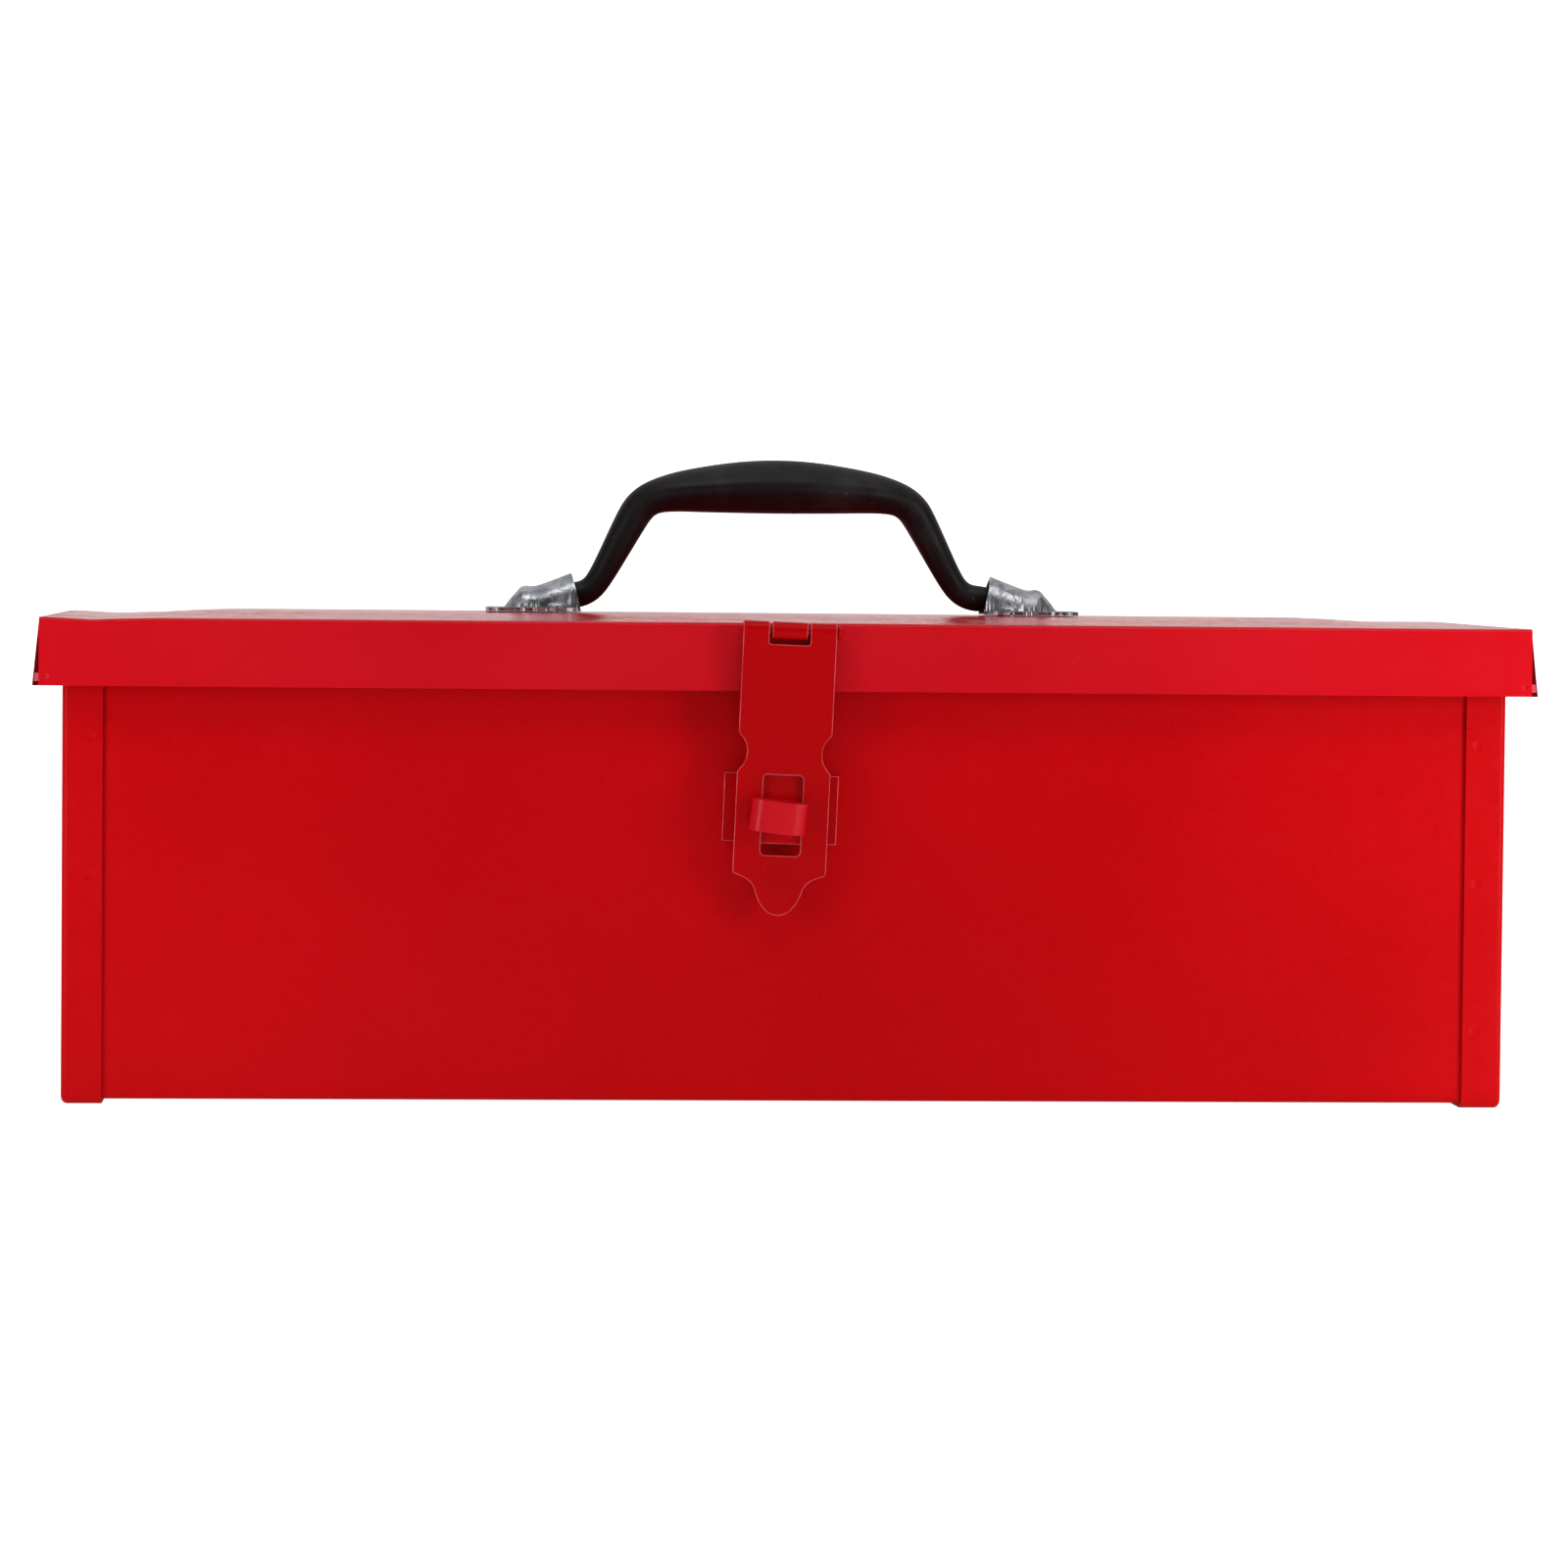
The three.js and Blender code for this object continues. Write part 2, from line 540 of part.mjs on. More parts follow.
// The staple's strip, seen from above: a flat base, a neck, and an oval loop in front of the strap.
function stapleLoop() {
  const { thickness, halfHeight, halfWidth, halfDepth, neck, shift } = LOOP;
  const base = raisedFace - SEAT - WASHER.thickness - SEAT - thickness / 2;
  const loopCentre = -HASP_ROLL - 0.5 - thickness / 2 - halfDepth;
  const start = Math.asin((neck - shift) / halfWidth);
  const finish = 2 * Math.PI + Math.asin((-neck - shift) / halfWidth);
  const line = [new THREE.Vector2(-neck, base), new THREE.Vector2(neck, base)];
  const steps = 26;
  for (let k = 0; k <= steps; k += 1) {
    const angle = start + ((finish - start) * k) / steps;
    line.push(new THREE.Vector2(
      shift + halfWidth * Math.sin(angle), loopCentre + halfDepth * Math.cos(angle)));
  }
  const shape = new THREE.Shape(offsetLine(line, thickness / 2, true));
  shape.holes.push(new THREE.Path(offsetLine(line, -thickness / 2, true).reverse()));
  const drill = new THREE.CylinderGeometry(STAPLE_RIVET.hole, STAPLE_RIVET.hole, 3, 14);
  return cut(alongZ(shape, -halfHeight, halfHeight), drill.translate(0, base, 0));
}

function stapleWasher() {
  const { outer, inner, thickness } = WASHER;
  const ring = new THREE.Shape().absarc(0, 0, outer, 0, 2 * Math.PI, false);
  ring.holes.push(new THREE.Path().absarc(0, 0, inner, 0, 2 * Math.PI, true));
  return alongY(ring, raisedFace - SEAT - thickness, raisedFace - SEAT, 10);
}

function stapleRivet() {
  const { shank, head, headHeight, tail, tailHeight } = STAPLE_RIVET;
  const seat = raisedFace - SEAT - WASHER.thickness - SEAT - LOOP.thickness - SEAT;
  const grip = raisedFace + SHEET + SEAT - seat;
  const rivet = turned(rivetProfile(head, headHeight, shank, grip, tail, tailHeight));
  return rivet.rotateX(Math.PI / 2).translate(0, seat, 0);
}

addPiece(latchGroup, 'staple_bracket', stapleBracket(), redHardware);
const swivelGroup = new THREE.Group();                   // origin on the staple's turning axis
swivelGroup.position.z = WINDOW.z;
swivelGroup.rotation.y = STAPLE_TURN;
leanGroup.add(swivelGroup);
addPiece(swivelGroup, 'staple_washer', stapleWasher(), redHardware);
addPiece(swivelGroup, 'staple_loop', stapleLoop(), redHardware);
addPiece(swivelGroup, 'staple_rivet', stapleRivet(), redHardware);

// ---- handle clips -------------------------------------------------------------------------

// Stations along a clip's hood: distance from the mouth, half width and height.
const HOOD = [
  [0, 7.4, 11.8], [7, 6.9, 9.1], [13, 6.5, 7.0], [15.8, 6.2, 7.1], [18.4, 5.2, 5.1], [20.2, 3.9, 3.0],
  [21.6, 2.2, 1.2],
];
const FLANGE_END = 26.8;                                 // from the mouth to the flange's far edge
const MOUTH_SLANT = 3.2;                                 // the mouth's top lies further out than its foot

// One arch of the hood across Y, closed along its base.
function archRing(x, halfWidth, height, base) {
  const steps = 12;
  const ring = [];
  for (let k = 0; k <= steps; k += 1) {
    const angle = (Math.PI * k) / steps;
    const across = halfWidth * Math.cos(angle);
    const up = height * Math.sin(angle) ** 0.75;
    ring.push(new THREE.Vector3(x, across, base + up));
  }
  return ring;
}

// The right-hand clip, drawn with its mouth at x = 0 facing -X; the left-hand one is turned round.
function handleClip() {
  const outer = loft(HOOD.map(([x, w, h]) => archRing(x - (x ? 0 : 1), w, h, SEAT)));
  const hollow = HOOD.slice(0, -1).map(([x, w, h], i) => (
    archRing(i ? x - 0.9 : -2, w - SHEET, h - SHEET, SEAT - 0.5)));
  const inner = loft(hollow);
  const flange = alongZ(roundedRect(1, FLANGE_END, -15, 15, 4), SEAT, SEAT + SHEET, 3);
  const lip = new THREE.Shape([
    new THREE.Vector2(-3, -1), new THREE.Vector2(0, -1),
    new THREE.Vector2(MOUTH_SLANT * 1.2, 15), new THREE.Vector2(-3, 15),
  ]);
  const holes = [-1, 1].map((row) => {
    const drill = new THREE.CylinderGeometry(RIVET_HOLE, RIVET_HOLE, 4, 14).rotateX(Math.PI / 2);
    return drill.translate(CLIP_RIVET.inset, row * CLIP_RIVET.reach, SHEET / 2);
  });
  return cut(join(outer, flange), inner, alongY(lip, -9, 9), ...holes);
}

for (const [name, side] of [['left_handle_clip', -1], ['right_handle_clip', 1]]) {
  const clip = addPiece(crownGroup, name, handleClip(), zincSteel);
  clip.position.x = CLIP_CENTRE_X + side * CLIP_MOUTH;
  clip.rotation.z = side < 0 ? Math.PI : 0;
}

for (const { name, x, y } of clipRivets) {
  const grip = SEAT + SHEET + SEAT + SHEET + SEAT;
  const rivet = turned(rivetProfile(2.6, 1.2, 1.4, grip, 2.4, 0.8));
  addPiece(crownGroup, name, rivet, zincSteel).position.set(x, y, SHEET + 2 * SEAT);
}

// ---- handle -------------------------------------------------------------------------------

// Half of the handle, from the middle of the grip to the tip of a pivot: distance along X,
// height above the lid's crown, half thickness in the handle's plane and half width across it.
const HANDLE = [
  [0, 36, 7.8, 9.5], [10, 35.8, 7.5, 9.3], [20, 35.1, 6.7, 8.6], [28, 34.4, 5.8, 7.4],
  [33, 33.4, 5.1, 6.4], [36.4, 32.1, 4.8, 5.7], [38.9, 29.9, 4.8, 5.2], [40.8, 27.1, 4.7, 4.9],
  [45.5, 18, 4.1, 4.3], [50.1, 9.3, 3.6, 3.9], [52.5, 6.4, 3.7, 3.8], [55.5, 4.9, 3.8, 3.8],
  [59.6, PIVOT_HEIGHT, 3.7, 3.7], [61.6, PIVOT_HEIGHT, 3, 3], [62.6, PIVOT_HEIGHT, 1.8, 1.8],
  [64.6, PIVOT_HEIGHT, 1.8, 1.8],
];

function handle() {
  const mirrored = HANDLE.slice(1).reverse().map(([x, ...rest]) => [-x, ...rest]);
  const stations = [...mirrored, ...HANDLE];
  const around = 12;
  const rings = stations.map(([x, z, thick, wide], i) => {
    const [x0, z0] = stations[Math.max(i - 1, 0)];
    const [x1, z1] = stations[Math.min(i + 1, stations.length - 1)];
    const along = new THREE.Vector2(x1 - x0, z1 - z0).normalize();
    const ring = [];
    for (let k = 0; k < around; k += 1) {
      const angle = (2 * Math.PI * (k + 0.5)) / around;
      const out = thick * Math.sin(angle);
      ring.push(new THREE.Vector3(x - along.y * out, wide * Math.cos(angle), z + along.x * out));
    }
    return ring;
  });
  // The rings stand on the pivot axis, so that the mesh turns about its own origin.
  return loft(rings).translate(0, 0, -PIVOT_HEIGHT);
}

addPiece(crownGroup, 'handle', handle(), blackPlastic)
  .position.set(CLIP_CENTRE_X + HANDLE_SHIFT, 0, PIVOT_HEIGHT);

// The origin goes to the middle of the outline, front to back.
const outline = new THREE.Box3().setFromObject(assembly, true);
assembly.position.y = -(outline.min.y + outline.max.y) / 2;

export default lunchBox;
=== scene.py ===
# Looks for the red steel box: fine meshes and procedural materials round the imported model.
import json
import math

import bmesh
import bpy
from mathutils import Matrix, Vector, noise
from mathutils.geometry import tessellate_polygon


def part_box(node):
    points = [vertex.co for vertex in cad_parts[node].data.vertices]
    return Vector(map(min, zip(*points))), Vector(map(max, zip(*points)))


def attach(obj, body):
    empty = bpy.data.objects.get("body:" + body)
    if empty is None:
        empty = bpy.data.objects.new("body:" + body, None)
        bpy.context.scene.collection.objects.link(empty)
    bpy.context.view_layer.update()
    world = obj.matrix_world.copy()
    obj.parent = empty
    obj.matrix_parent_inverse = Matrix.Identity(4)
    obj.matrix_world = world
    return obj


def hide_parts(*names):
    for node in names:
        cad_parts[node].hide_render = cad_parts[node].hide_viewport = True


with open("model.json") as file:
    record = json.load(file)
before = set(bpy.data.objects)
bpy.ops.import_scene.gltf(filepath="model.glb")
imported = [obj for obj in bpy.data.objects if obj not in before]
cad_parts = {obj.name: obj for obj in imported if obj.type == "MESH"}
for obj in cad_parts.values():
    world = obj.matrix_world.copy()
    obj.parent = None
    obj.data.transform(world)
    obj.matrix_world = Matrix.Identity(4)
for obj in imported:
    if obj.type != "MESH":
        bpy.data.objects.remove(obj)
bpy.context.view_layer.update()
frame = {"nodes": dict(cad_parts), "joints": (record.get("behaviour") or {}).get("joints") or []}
MM = 0.001

# ---- places, read from the frame ------------------------------------------------------------

joints = {joint["name"]: joint for joint in frame["joints"]}
lid_low, lid_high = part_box("lid")
shell_low, shell_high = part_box("body_shell")
panel_low, panel_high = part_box("left_end_panel")
MIDDLE_Y = (panel_low.y + panel_high.y) / 2        # middle of the body, front to back
LID_CROWN = 1.6 * MM                               # how far the middle of the lid's top bulges
LID_TOP = lid_high.z - LID_CROWN                   # level of the edges of the lid's top
LID_FRONT = lid_low.y
LID_REAR = lid_high.y
BODY_END = -panel_low.x
FLANGE = panel_high.x - panel_low.x

# ---- sizes of the pressed steel -------------------------------------------------------------

SHEET = 1.0 * MM
SEAT = 0.3 * MM                   # gap between pieces that are welded or riveted together
EDGE = 0.22 * MM                  # rounding of a sheared edge under its paint
BEND = 1.5 * MM                   # middle radius of the body's long bends
LID_BEND = 0.7 * MM               # and of the lid's sharper ones
HEM_SPACING = 1.6 * MM            # between the two middle lines of a folded rim
HEM_DEPTH = 5.5 * MM              # how far a rim is folded down inside
SKIRT = 18.5 * MM                 # height of the lid's skirts
LID_HALF = 203 * MM               # half the lid's length, at its top
END_FLARE = 1.8 * MM              # how far the end skirts lean out at their lower edge


# ---- meshes: outlines -----------------------------------------------------------------------

def bend_line(corners, steps=6):
    """Middle line of a bent sheet from (u, v, bend radius) corners, in metres."""
    points = []
    for i, corner in enumerate(corners):
        here = Vector(corner[:2])
        radius = corner[2] if len(corner) > 2 else 0
        if not radius:
            points.append(here)
            continue
        back = (Vector(corners[i - 1][:2]) - here).normalized()
        ahead = (Vector(corners[i + 1][:2]) - here).normalized()
        half = back.angle(ahead) / 2
        centre = here + (back + ahead).normalized() * radius / math.sin(half)
        start = here + back * radius / math.tan(half) - centre
        end = here + ahead * radius / math.tan(half) - centre
        turn = math.atan2(start.x * end.y - start.y * end.x, start.dot(end))
        for k in range(steps + 1):
            points.append(centre + Matrix.Rotation(turn * k / steps, 2) @ start)
    kept = points[:1]
    for point in points[1:]:
        if (point - kept[-1]).length > 1e-6:
            kept.append(point)
    return kept


def offset_line(points, distance, closed=False):
    """The line moved sideways, to its left for a positive distance, with mitred corners."""
    moved = []
    count = len(points)
    for i, point in enumerate(points):
        before = points[(i - 1) % count] if closed or i else point
        after = points[(i + 1) % count] if closed or i < count - 1 else point
        first = (point - before) if (point - before).length else (after - point)
        second = (after - point) if (after - point).length else first
        first = first.normalized()
        second = second.normalized()
        normal = Vector((-first.y - second.y, first.x + second.x)).normalized()
        mitre = normal.dot(Vector((-first.y, first.x)))
        moved.append(point + normal * distance / mitre)
    return moved


def sheet_outline(corners, steps=6):
    line = bend_line(corners, steps)
    return offset_line(line, SHEET / 2) + offset_line(line, -SHEET / 2)[::-1]


def arc(centre, radius, start, end, steps):
    return [
        Vector((centre[0] + radius * math.cos(start + (end - start) * k / steps),
                centre[1] + radius * math.sin(start + (end - start) * k / steps)))
        for k in range(steps + 1)
    ]


def rounded_rect(u0, u1, v0, v1, radius, steps=6):
    quarter = math.pi / 2
    return (
        arc((u1 - radius, v0 + radius), radius, -quarter, 0, steps)
        + arc((u1 - radius, v1 - radius), radius, 0, quarter, steps)
        + arc((u0 + radius, v1 - radius), radius, quarter, 2 * quarter, steps)
        + arc((u0 + radius, v0 + radius), radius, 2 * quarter, 3 * quarter, steps)
    )


def bezier(p0, p1, p2, p3, steps=10):
    points = []
    for k in range(1, steps + 1):
        t = k / steps
        s = 1 - t
        points.append(Vector(p0) * s**3 + Vector(p1) * 3 * s * s * t
                      + Vector(p2) * 3 * s * t * t + Vector(p3) * t**3)
    return points


# ---- meshes: solids -------------------------------------------------------------------------

PLANES = {
    "YZ": lambda u, v, w: Vector((w, u, v)),       # a shape in Y and Z, drawn out along X
    "XZ": lambda u, v, w: Vector((u, w, v)),
    "XY": lambda u, v, w: Vector((u, v, w)),
}


def prism(outline, low, high, plane, holes=()):
    """A bmesh of an outline with holes, drawn out between two places along the third axis."""
    place = PLANES[plane]
    bm = bmesh.new()
    loops = [list(outline), *[list(hole) for hole in holes]]
    ends = []
    for w in (low, high):
        ends.append([[bm.verts.new(place(p.x, p.y, w)) for p in loop] for loop in loops])
    for bottom, top in zip(*ends):
        count = len(bottom)
        for i in range(count):
            j = (i + 1) % count
            bm.faces.new((bottom[i], bottom[j], top[j], top[i]))
    flat = [[Vector((p.x, p.y, 0)) for p in loop] for loop in loops]
    for end in ends:
        corners = [vertex for loop in end for vertex in loop]
        if holes:
            for triangle in tessellate_polygon(flat):
                bm.faces.new([corners[i] for i in triangle])
        else:
            bm.faces.new(corners)
    bmesh.ops.recalc_face_normals(bm, faces=bm.faces)
    return bm


def slice_along(bm, axis, places):
    """Cuts the mesh into strips, so that it can be bent."""
    normal = Vector((0, 0, 0))
    normal[axis] = 1
    for place in places:
        bmesh.ops.bisect_plane(
            bm, geom=bm.verts[:] + bm.edges[:] + bm.faces[:], dist=1e-6,
            plane_co=normal * place, plane_no=normal)


def loft(rings):
    """A closed bmesh through rings of equal length, with flat ends."""
    bm = bmesh.new()
    rows = [[bm.verts.new(p) for p in ring] for ring in rings]
    around = len(rows[0])
    for a, b in zip(rows, rows[1:]):
        for k in range(around):
            n = (k + 1) % around
            bm.faces.new((a[k], a[n], b[n], b[k]))
    bm.faces.new(rows[0][::-1])
    bm.faces.new(rows[-1])
    bmesh.ops.recalc_face_normals(bm, faces=bm.faces)
    return bm


def lathe(profile, steps=32):
    """A turned bmesh about Z. The profile is (radius, height) and runs from axis to axis."""
    bm = bmesh.new()
    rows = []
    for radius, z in profile:
        if radius < 1e-7:
            rows.append([bm.verts.new((0, 0, z))])
        else:
            rows.append([
                bm.verts.new((radius * math.cos(2 * math.pi * k / steps),
                              radius * math.sin(2 * math.pi * k / steps), z))
                for k in range(steps)])
    for a, b in zip(rows, rows[1:]):
        for k in range(steps):
            n = (k + 1) % steps
            corners = [a[k % len(a)], a[n % len(a)], b[n % len(b)], b[k % len(b)]]
            unique = [v for i, v in enumerate(corners) if v not in corners[:i]]
            bm.faces.new(unique)
    bmesh.ops.recalc_face_normals(bm, faces=bm.faces)
    return bm


def make(name, bm, material, matrix=None):
    """Turns a bmesh into an object in the row frame."""
    mesh = bpy.data.meshes.new(name)
    if matrix is not None:
        bmesh.ops.transform(bm, matrix=matrix, verts=bm.verts)
    bmesh.ops.recalc_face_normals(bm, faces=bm.faces)
    bm.to_mesh(mesh)
    bm.free()
    piece = bpy.data.objects.new(name, mesh)
    bpy.context.scene.collection.objects.link(piece)
    piece.data.materials.append(material)
    return piece


def combine(piece, others, operation="UNION"):
    """Joins or cuts the piece with others, and removes them."""
    for other in others:
        modifier = piece.modifiers.new("combine", "BOOLEAN")
        modifier.operation = operation
        modifier.solver = "EXACT"
        modifier.material_mode = "TRANSFER"
        modifier.object = other
    bpy.context.view_layer.update()
    evaluated = piece.evaluated_get(bpy.context.evaluated_depsgraph_get())
    result = bpy.data.meshes.new_from_object(evaluated)
    piece.modifiers.clear()
    piece.data = result
    for other in others:
        bpy.data.objects.remove(other)
    bm = bmesh.new()
    bm.from_mesh(result)
    bmesh.ops.remove_doubles(bm, verts=bm.verts, dist=1e-6)
    bmesh.ops.dissolve_degenerate(bm, edges=bm.edges, dist=1e-6)
    bmesh.ops.dissolve_limit(bm, angle_limit=0.002, verts=bm.verts, edges=bm.edges)
    bm.to_mesh(result)
    bm.free()
    return piece


def soften(piece, width=EDGE, segments=2, angle=35, edge=None):
    """Rounds the sharp edges, which may have a material of their own that paints a highlight along them, and
    shades the rest smooth.
    """
    piece.data.shade_smooth()
    bevel = piece.modifiers.new("edges", "BEVEL")
    bevel.width = width
    bevel.segments = segments
    bevel.limit_method = "ANGLE"
    bevel.angle_limit = math.radians(angle)
    bevel.use_clamp_overlap = True
    bevel.miter_outer = "MITER_ARC"
    if edge is not None:
        piece.data.materials.append(edge)
        bevel.material = len(piece.data.materials) - 1
    normals = piece.modifiers.new("normals", "WEIGHTED_NORMAL")
    normals.keep_sharp = False
    normals.weight = 60
    return piece


def place(piece, body, slot, *nodes):
    """Puts a piece on its body, instead of the CAD nodes that it replaces. Its slot is not used."""
    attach(piece, body)
    if nodes:
        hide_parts(*nodes)
    return piece


def smooth_noise(x, y, z, scale):
    return noise.noise(Vector((x, y, z)) * scale)


# ---- materials ------------------------------------------------------------------------------

class Graph:
    """A material's node tree, with short calls for the nodes that it needs."""

    def __init__(self, name):
        self.material = bpy.data.materials.new(name)
        self.material.use_nodes = True
        self.nodes = self.material.node_tree.nodes
        self.links = self.material.node_tree.links
        self.shader = self.nodes["Principled BSDF"]
        self.object = self.nodes.new("ShaderNodeTexCoord").outputs["Object"]

    def node(self, kind, inputs=(), **settings):
        made = self.nodes.new(kind)
        for key, value in settings.items():
            setattr(made, key, value)
        for key, value in dict(inputs).items():
            if isinstance(value, bpy.types.NodeSocket):
                self.links.new(value, made.inputs[key])
            else:
                made.inputs[key].default_value = value
        return made

    def noise(self, scale, detail=3.0, roughness=0.5, stretch=(1, 1, 1)):
        mapped = self.node("ShaderNodeMapping", {"Vector": self.object, "Scale": stretch})
        made = self.node("ShaderNodeTexNoise", {
            "Vector": mapped.outputs[0], "Scale": scale, "Detail": detail, "Roughness": roughness})
        return made.outputs["Fac"]

    def cells(self, scale, output="Color"):
        made = self.node("ShaderNodeTexVoronoi", {"Vector": self.object, "Scale": scale})
        return made.outputs[output]

    def remap(self, value, low, high, to_low, to_high):
        made = self.node("ShaderNodeMapRange", {
            "Value": value, "From Min": low, "From Max": high, "To Min": to_low, "To Max": to_high})
        return made.outputs[0]

    def math(self, operation, a, b=0.0):
        made = self.node("ShaderNodeMath", operation=operation)
        for socket, value in zip(made.inputs, (a, b)):
            if isinstance(value, bpy.types.NodeSocket):
                self.links.new(value, socket)
            else:
                socket.default_value = value
        return made.outputs[0]

    def mix(self, factor, a, b):
        made = self.node("ShaderNodeMix", data_type="RGBA")
        for index, value in ((0, factor), (6, a), (7, b)):
            if isinstance(value, bpy.types.NodeSocket):
                self.links.new(value, made.inputs[index])
            else:
                made.inputs[index].default_value = value
        return made.outputs[2]

    def bump(self, height, distance, strength=1.0, normal=None):
        inputs = {"Height": height, "Distance": distance, "Strength": strength}
        if normal is not None:
            inputs["Normal"] = normal
        return self.node("ShaderNodeBump", inputs).outputs[0]

    def set(self, **values):
        for key, value in values.items():
            socket = self.shader.inputs[key.replace("_", " ")]
            if isinstance(value, bpy.types.NodeSocket):
                self.links.new(value, socket)
            else:
                socket.default_value = value
        return self.material


def enamel(name, base, dark, roughness, waviness, specular=0.12, peel=0.05):
    """Sprayed gloss enamel on sheet steel: uneven film, orange peel and dust nibs. Peel is in millimetres."""
    g = Graph(name)
    cloud = g.noise(9, 3)
    fine = g.noise(260, 3, 0.6)
    colour = g.mix(g.remap(cloud, 0.35, 0.7, 0.0, 1.0), (*base, 1), (*dark, 1))
    speck = g.remap(g.cells(420, "Distance"), 0.03, 0.05, 1.0, 0.0)
    rare = g.remap(g.noise(55, 0), 0.68, 0.7, 0.0, 1.0)
    nib = g.math("MULTIPLY", speck, rare)
    colour = g.mix(g.math("MULTIPLY", nib, 0.35), colour, (0.75, 0.25, 0.25, 1))
    rough = g.remap(fine, 0.3, 0.75, roughness - 0.05, roughness + 0.07)
    smear = g.remap(g.noise(28, 4, 0.65, (1, 1, 2.5)), 0.55, 0.8, 0.0, 0.16)
    rough = g.math("ADD", rough, smear)
    normal = g.bump(g.noise(14, 2), 1.4 * MM * waviness)
    normal = g.bump(g.noise(700, 2, 0.5), peel * MM, 1.0, normal)
    normal = g.bump(nib, 0.12 * MM, 1.0, normal)
    return g.set(Base_Color=colour, Roughness=rough, Normal=normal, Specular_IOR_Level=specular)


def edge_highlight_enamel(name):
    """Enamel along an edge, paler pink in places as a painted highlight where the rounded edge would catch
    the light; the dark scratches are wear.
    """
    g = Graph(name)
    # The pale pink mixed in here is a painted highlight on the rounded edges, not a change in the paint.
    paler_patch = g.remap(g.noise(90, 4, 0.65), 0.34, 0.6, 0.0, 1.0)
    colour = g.mix(paler_patch, (0.58, 0.004, 0.010, 1), (0.76, 0.09, 0.12, 1))
    scratch = g.remap(g.noise(600, 2), 0.66, 0.72, 0.0, 0.8)
    colour = g.mix(scratch, colour, (0.30, 0.02, 0.02, 1))
    return g.set(Base_Color=colour, Roughness=0.28, Specular_IOR_Level=0.5,
                 Normal=g.bump(g.noise(500, 2), 0.03 * MM))


def galvanised(name, wrinkled=False):
    """Hot-dip zinc: spangles of slightly different grey, dull patches and draw marks."""
    g = Graph(name)
    spangle = g.node("ShaderNodeSeparateColor", {"Color": g.cells(330)}).outputs[0]
    dull = g.remap(g.noise(160, 4, 0.65), 0.38, 0.66, 0.0, 1.0)
    grey = g.mix(spangle, (0.24, 0.25, 0.28, 1), (0.50, 0.51, 0.54, 1))
    colour = g.mix(g.math("MULTIPLY", dull, 0.55), grey, (0.70, 0.70, 0.73, 1))
    stain = g.remap(g.noise(420, 3), 0.6, 0.75, 0.0, 0.6)
    colour = g.mix(stain, colour, (0.20, 0.21, 0.22, 1))
    rough = g.remap(g.noise(240, 3), 0.3, 0.7, 0.24, 0.50)
    normal = g.bump(g.noise(190, 3, 0.6), 0.22 * MM)
    if wrinkled:
        height = g.node("ShaderNodeSeparateXYZ", {0: g.object}).outputs["Z"]
        foot = g.remap(height, LID_TOP + 3 * MM, LID_TOP + 9 * MM, 1.0, 0.15)
        marks = g.noise(620, 2, 0.5, (1, 1, 0.1))
        normal = g.bump(g.math("MULTIPLY", marks, foot), 0.8 * MM, 1.0, normal)
        streak = g.remap(g.noise(150, 3, 0.6, (0.35, 1, 1)), 0.48, 0.62, 0.0, 0.75)
        colour = g.mix(streak, colour, (0.10, 0.11, 0.15, 1))
    return g.set(Base_Color=colour, Metallic=1.0, Roughness=rough, Normal=normal)


def moulded_plastic(name):
    """Black moulded grip: fine spark-eroded texture, rubbed paler in random patches, with a little dust."""
    g = Graph(name)
    grain = g.noise(1500, 2, 0.6)
    paler_patch = g.remap(g.noise(75, 4, 0.6), 0.5, 0.78, 0.0, 1.0)
    colour = g.mix(paler_patch, (0.007, 0.005, 0.006, 1), (0.024, 0.021, 0.023, 1))
    dust = g.remap(g.noise(640, 2), 0.70, 0.78, 0.0, 0.35)
    colour = g.mix(dust, colour, (0.16, 0.15, 0.15, 1))
    rough = g.remap(g.noise(95, 3), 0.3, 0.7, 0.38, 0.56)
    normal = g.bump(grain, 0.045 * MM)
    normal = g.bump(g.noise(60, 2), 0.35 * MM, 1.0, normal)
    return g.set(Base_Color=colour, Roughness=rough, Normal=normal, Specular_IOR_Level=0.2)


def bright_steel(name):
    """Plated pin: streaks along its length and a few grey spots."""
    g = Graph(name)
    streak = g.noise(700, 3, 0.6, (0.05, 1, 1))
    colour = g.mix(streak, (0.36, 0.37, 0.39, 1), (0.66, 0.67, 0.69, 1))
    spots = g.remap(g.noise(300, 3), 0.62, 0.72, 0.0, 0.7)
    colour = g.mix(spots, colour, (0.18, 0.17, 0.16, 1))
    return g.set(Base_Color=colour, Metallic=1.0, Roughness=g.remap(streak, 0.3, 0.7, 0.25, 0.45),
                 Normal=g.bump(streak, 0.03 * MM))


LID_RED = enamel("lid_enamel", (0.68, 0.007, 0.015), (0.62, 0.003, 0.009), 0.17, 0.15, peel=0.008)
BODY_RED = enamel("body_enamel", (0.62, 0.002, 0.005), (0.55, 0.001, 0.003), 0.30, 0.8, 0.06, peel=0.015)
HARDWARE_RED = enamel("hardware_enamel", (0.54, 0.001, 0.003), (0.44, 0.001, 0.002), 0.24, 0.4, 0.06)
# Dark red for the lid's corner tabs: painted shade standing in for the shadowed inside of each corner's
# wedge.
SHADE_TAB_RED = enamel("painted_shade_tab", (0.13, 0.001, 0.003), (0.09, 0.001, 0.002), 0.5, 0.6, 0.03)
# Edge material: a pale pink painted highlight along every bevel that uses it, with dark wear scratches.
EDGE_HIGHLIGHT_RED = edge_highlight_enamel("painted_edge_highlight")
ZINC = galvanised("galvanised_sheet", True)
RIVET_ZINC = galvanised("galvanised_rivet")
PLASTIC = moulded_plastic("black_grip")
PIN_STEEL = bright_steel("plated_pin")


# ---- body -----------------------------------------------------------------------------------

